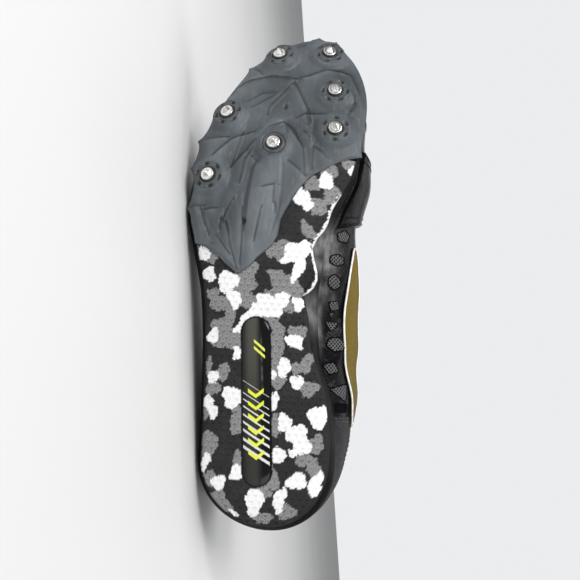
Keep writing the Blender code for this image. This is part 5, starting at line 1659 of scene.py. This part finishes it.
def make_windows(film):
    """Patches of open mesh, each a little proud of the film."""
    materials = [mesh_material(), film, plain_material("patch_film")]
    parts = []
    for along, turn, half_long, half_wide, corners, bend, filled in WINDOWS:
        angle = np.arange(96) / 96 * 2 * pi
        part = (angle - radians(bend)) % (2 * pi / corners) - pi / corners
        blunt = 1 - 0.10 * (np.abs(part) * corners / pi) ** 8
        reach = np.cos(pi / corners) / np.cos(part) * blunt
        share = np.array((0, 0.2, 0.4, 0.55, 0.7, 0.8, 0.84, 0.88, 0.93, 0.98, 1.04))[:, None]
        profile = np.array((2, 2, 2, 2, 2, 2, 2, 6.5, 8, 5, -1))[:, None] * 0.0001
        du = share * reach * np.cos(angle) * half_long
        dv = share * reach * np.sin(angle) * half_wide
        scale = np.linalg.norm(last_point(np.array(along), 1, np.array(turn + 0.05))
                               - last_point(np.array(along), 1, np.array(turn - 0.05))) / 0.1
        places = np.clip(along + du * 0.001 / SHOE_LENGTH, 0.01, 0.99)
        turns = np.clip(turn + dv * 0.001 / scale, 0.02, 1.95)
        at = last_point(places, 1, turns)
        points = over_last(places, 1, turns, profile)
        points = points + folded(at, last_normal(places, 1, turns), 1) - at
        for rows, number in ((slice(0, 7), 2 * filled), (slice(6, None), 1)):
            patch = points[rows]
            parts.append((patch, grid_faces(*patch.shape[:2], closed=True), number))
    piece("mesh_windows", parts, materials, angle=70)


# Stage

def make_stage():
    """A pale floor and soft studio light."""
    scene = bpy.context.scene
    mesh = bpy.data.meshes.new("floor")
    mesh.from_pydata([(-6, -6, 0), (6, -6, 0), (6, 6, 0), (-6, 6, 0)], [], [(0, 1, 2, 3)])
    floor = linked("floor", mesh)
    m = Nodes("floor_paint", (0.64, 0.64, 0.635), 0.6)
    m.colour(m.ramp(m.noise(3, 2), ((0.3, (0.62, 0.62, 0.615)), (0.7, (0.66, 0.66, 0.655)))))
    mesh.materials.append(m.material)
    world = bpy.data.worlds.new("studio")
    scene.world = world
    world.use_nodes = True
    tree = world.node_tree
    ground = tree.nodes["Background"]
    ground.inputs["Color"].default_value = (0.97, 0.98, 1.0, 1.0)
    ways = tree.nodes.new("ShaderNodeTexCoord")
    toward = tree.nodes.new("ShaderNodeVectorMath")
    toward.operation = "DOT_PRODUCT"
    toward.inputs[1].default_value = np.array(EYE_FORWARD) @ TURN
    spread = tree.nodes.new("ShaderNodeMapRange")
    for key, value in (("From Min", 0.55), ("From Max", 0.85), ("To Min", 0.17), ("To Max", 0.86)):
        spread.inputs[key].default_value = value
    tree.links.new(ways.outputs["Generated"], toward.inputs[0])
    tree.links.new(toward.outputs["Value"], spread.inputs["Value"])
    tree.links.new(spread.outputs[0], ground.inputs["Strength"])
    scene.view_settings.view_transform = "Standard"
    aim = Vector((0.0, -0.02, 0.05))
    for name, place, size, power in (
            ("key", (-0.55, -0.95, 0.95), 0.7, 19.0),
            ("fill", (0.9, -1.0, 0.5), 1.0, 7.0),
            ("top", (0.0, 0.1, 1.2), 0.9, 7.0)):
        light = bpy.data.lights.new(name, "AREA")
        light.size = size
        light.energy = power
        item = linked(name, light)
        item.location = place
        item.rotation_euler = (aim - Vector(place)).to_track_quat("-Z", "Y").to_euler()


def make_camera():
    """The camera under the sole, turned to the middle of the shoe."""
    forward, right, up = (np.array(way) for way in (EYE_FORWARD, EYE_RIGHT, EYE_UP))
    forward = unit(forward + AIM_RIGHT * right + AIM_UP * up)
    right = unit(np.cross(forward, up))
    up = np.cross(right, forward)
    eye = placed(np.array(EYE))[0]
    axes = np.stack((right, up, -forward)) @ TURN
    camera = bpy.data.cameras.new("camera")
    camera.lens = EYE_LENS
    camera.clip_start = 0.01
    item = linked("camera", camera)
    item.matrix_world = Matrix([[*axes.T[i], eye[i]] for i in range(3)] + [[0, 0, 0, 1]])
    bpy.context.scene.camera = item


def dress_insole():
    """The insole keeps its solid and gets a knitted top cloth."""
    cloth = cloth_material("insole_cloth", (0.03, 0.03, 0.034), (0.10, 0.10, 0.11), 0.0012)
    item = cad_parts["insole"]
    for slot in item.material_slots:
        slot.material = cloth


def main():
    make_camera()
    make_stage()
    film = film_material("upper_film")
    make_tread()
    make_plate()
    make_spikes()
    make_badge()
    make_midsole()
    make_upper()
    make_gold_panel()
    make_strap(film)
    make_tongue()
    make_eyestay(film)
    make_lace()
    make_collar()
    make_stitches()
    make_windows(film)
    dress_insole()


main()
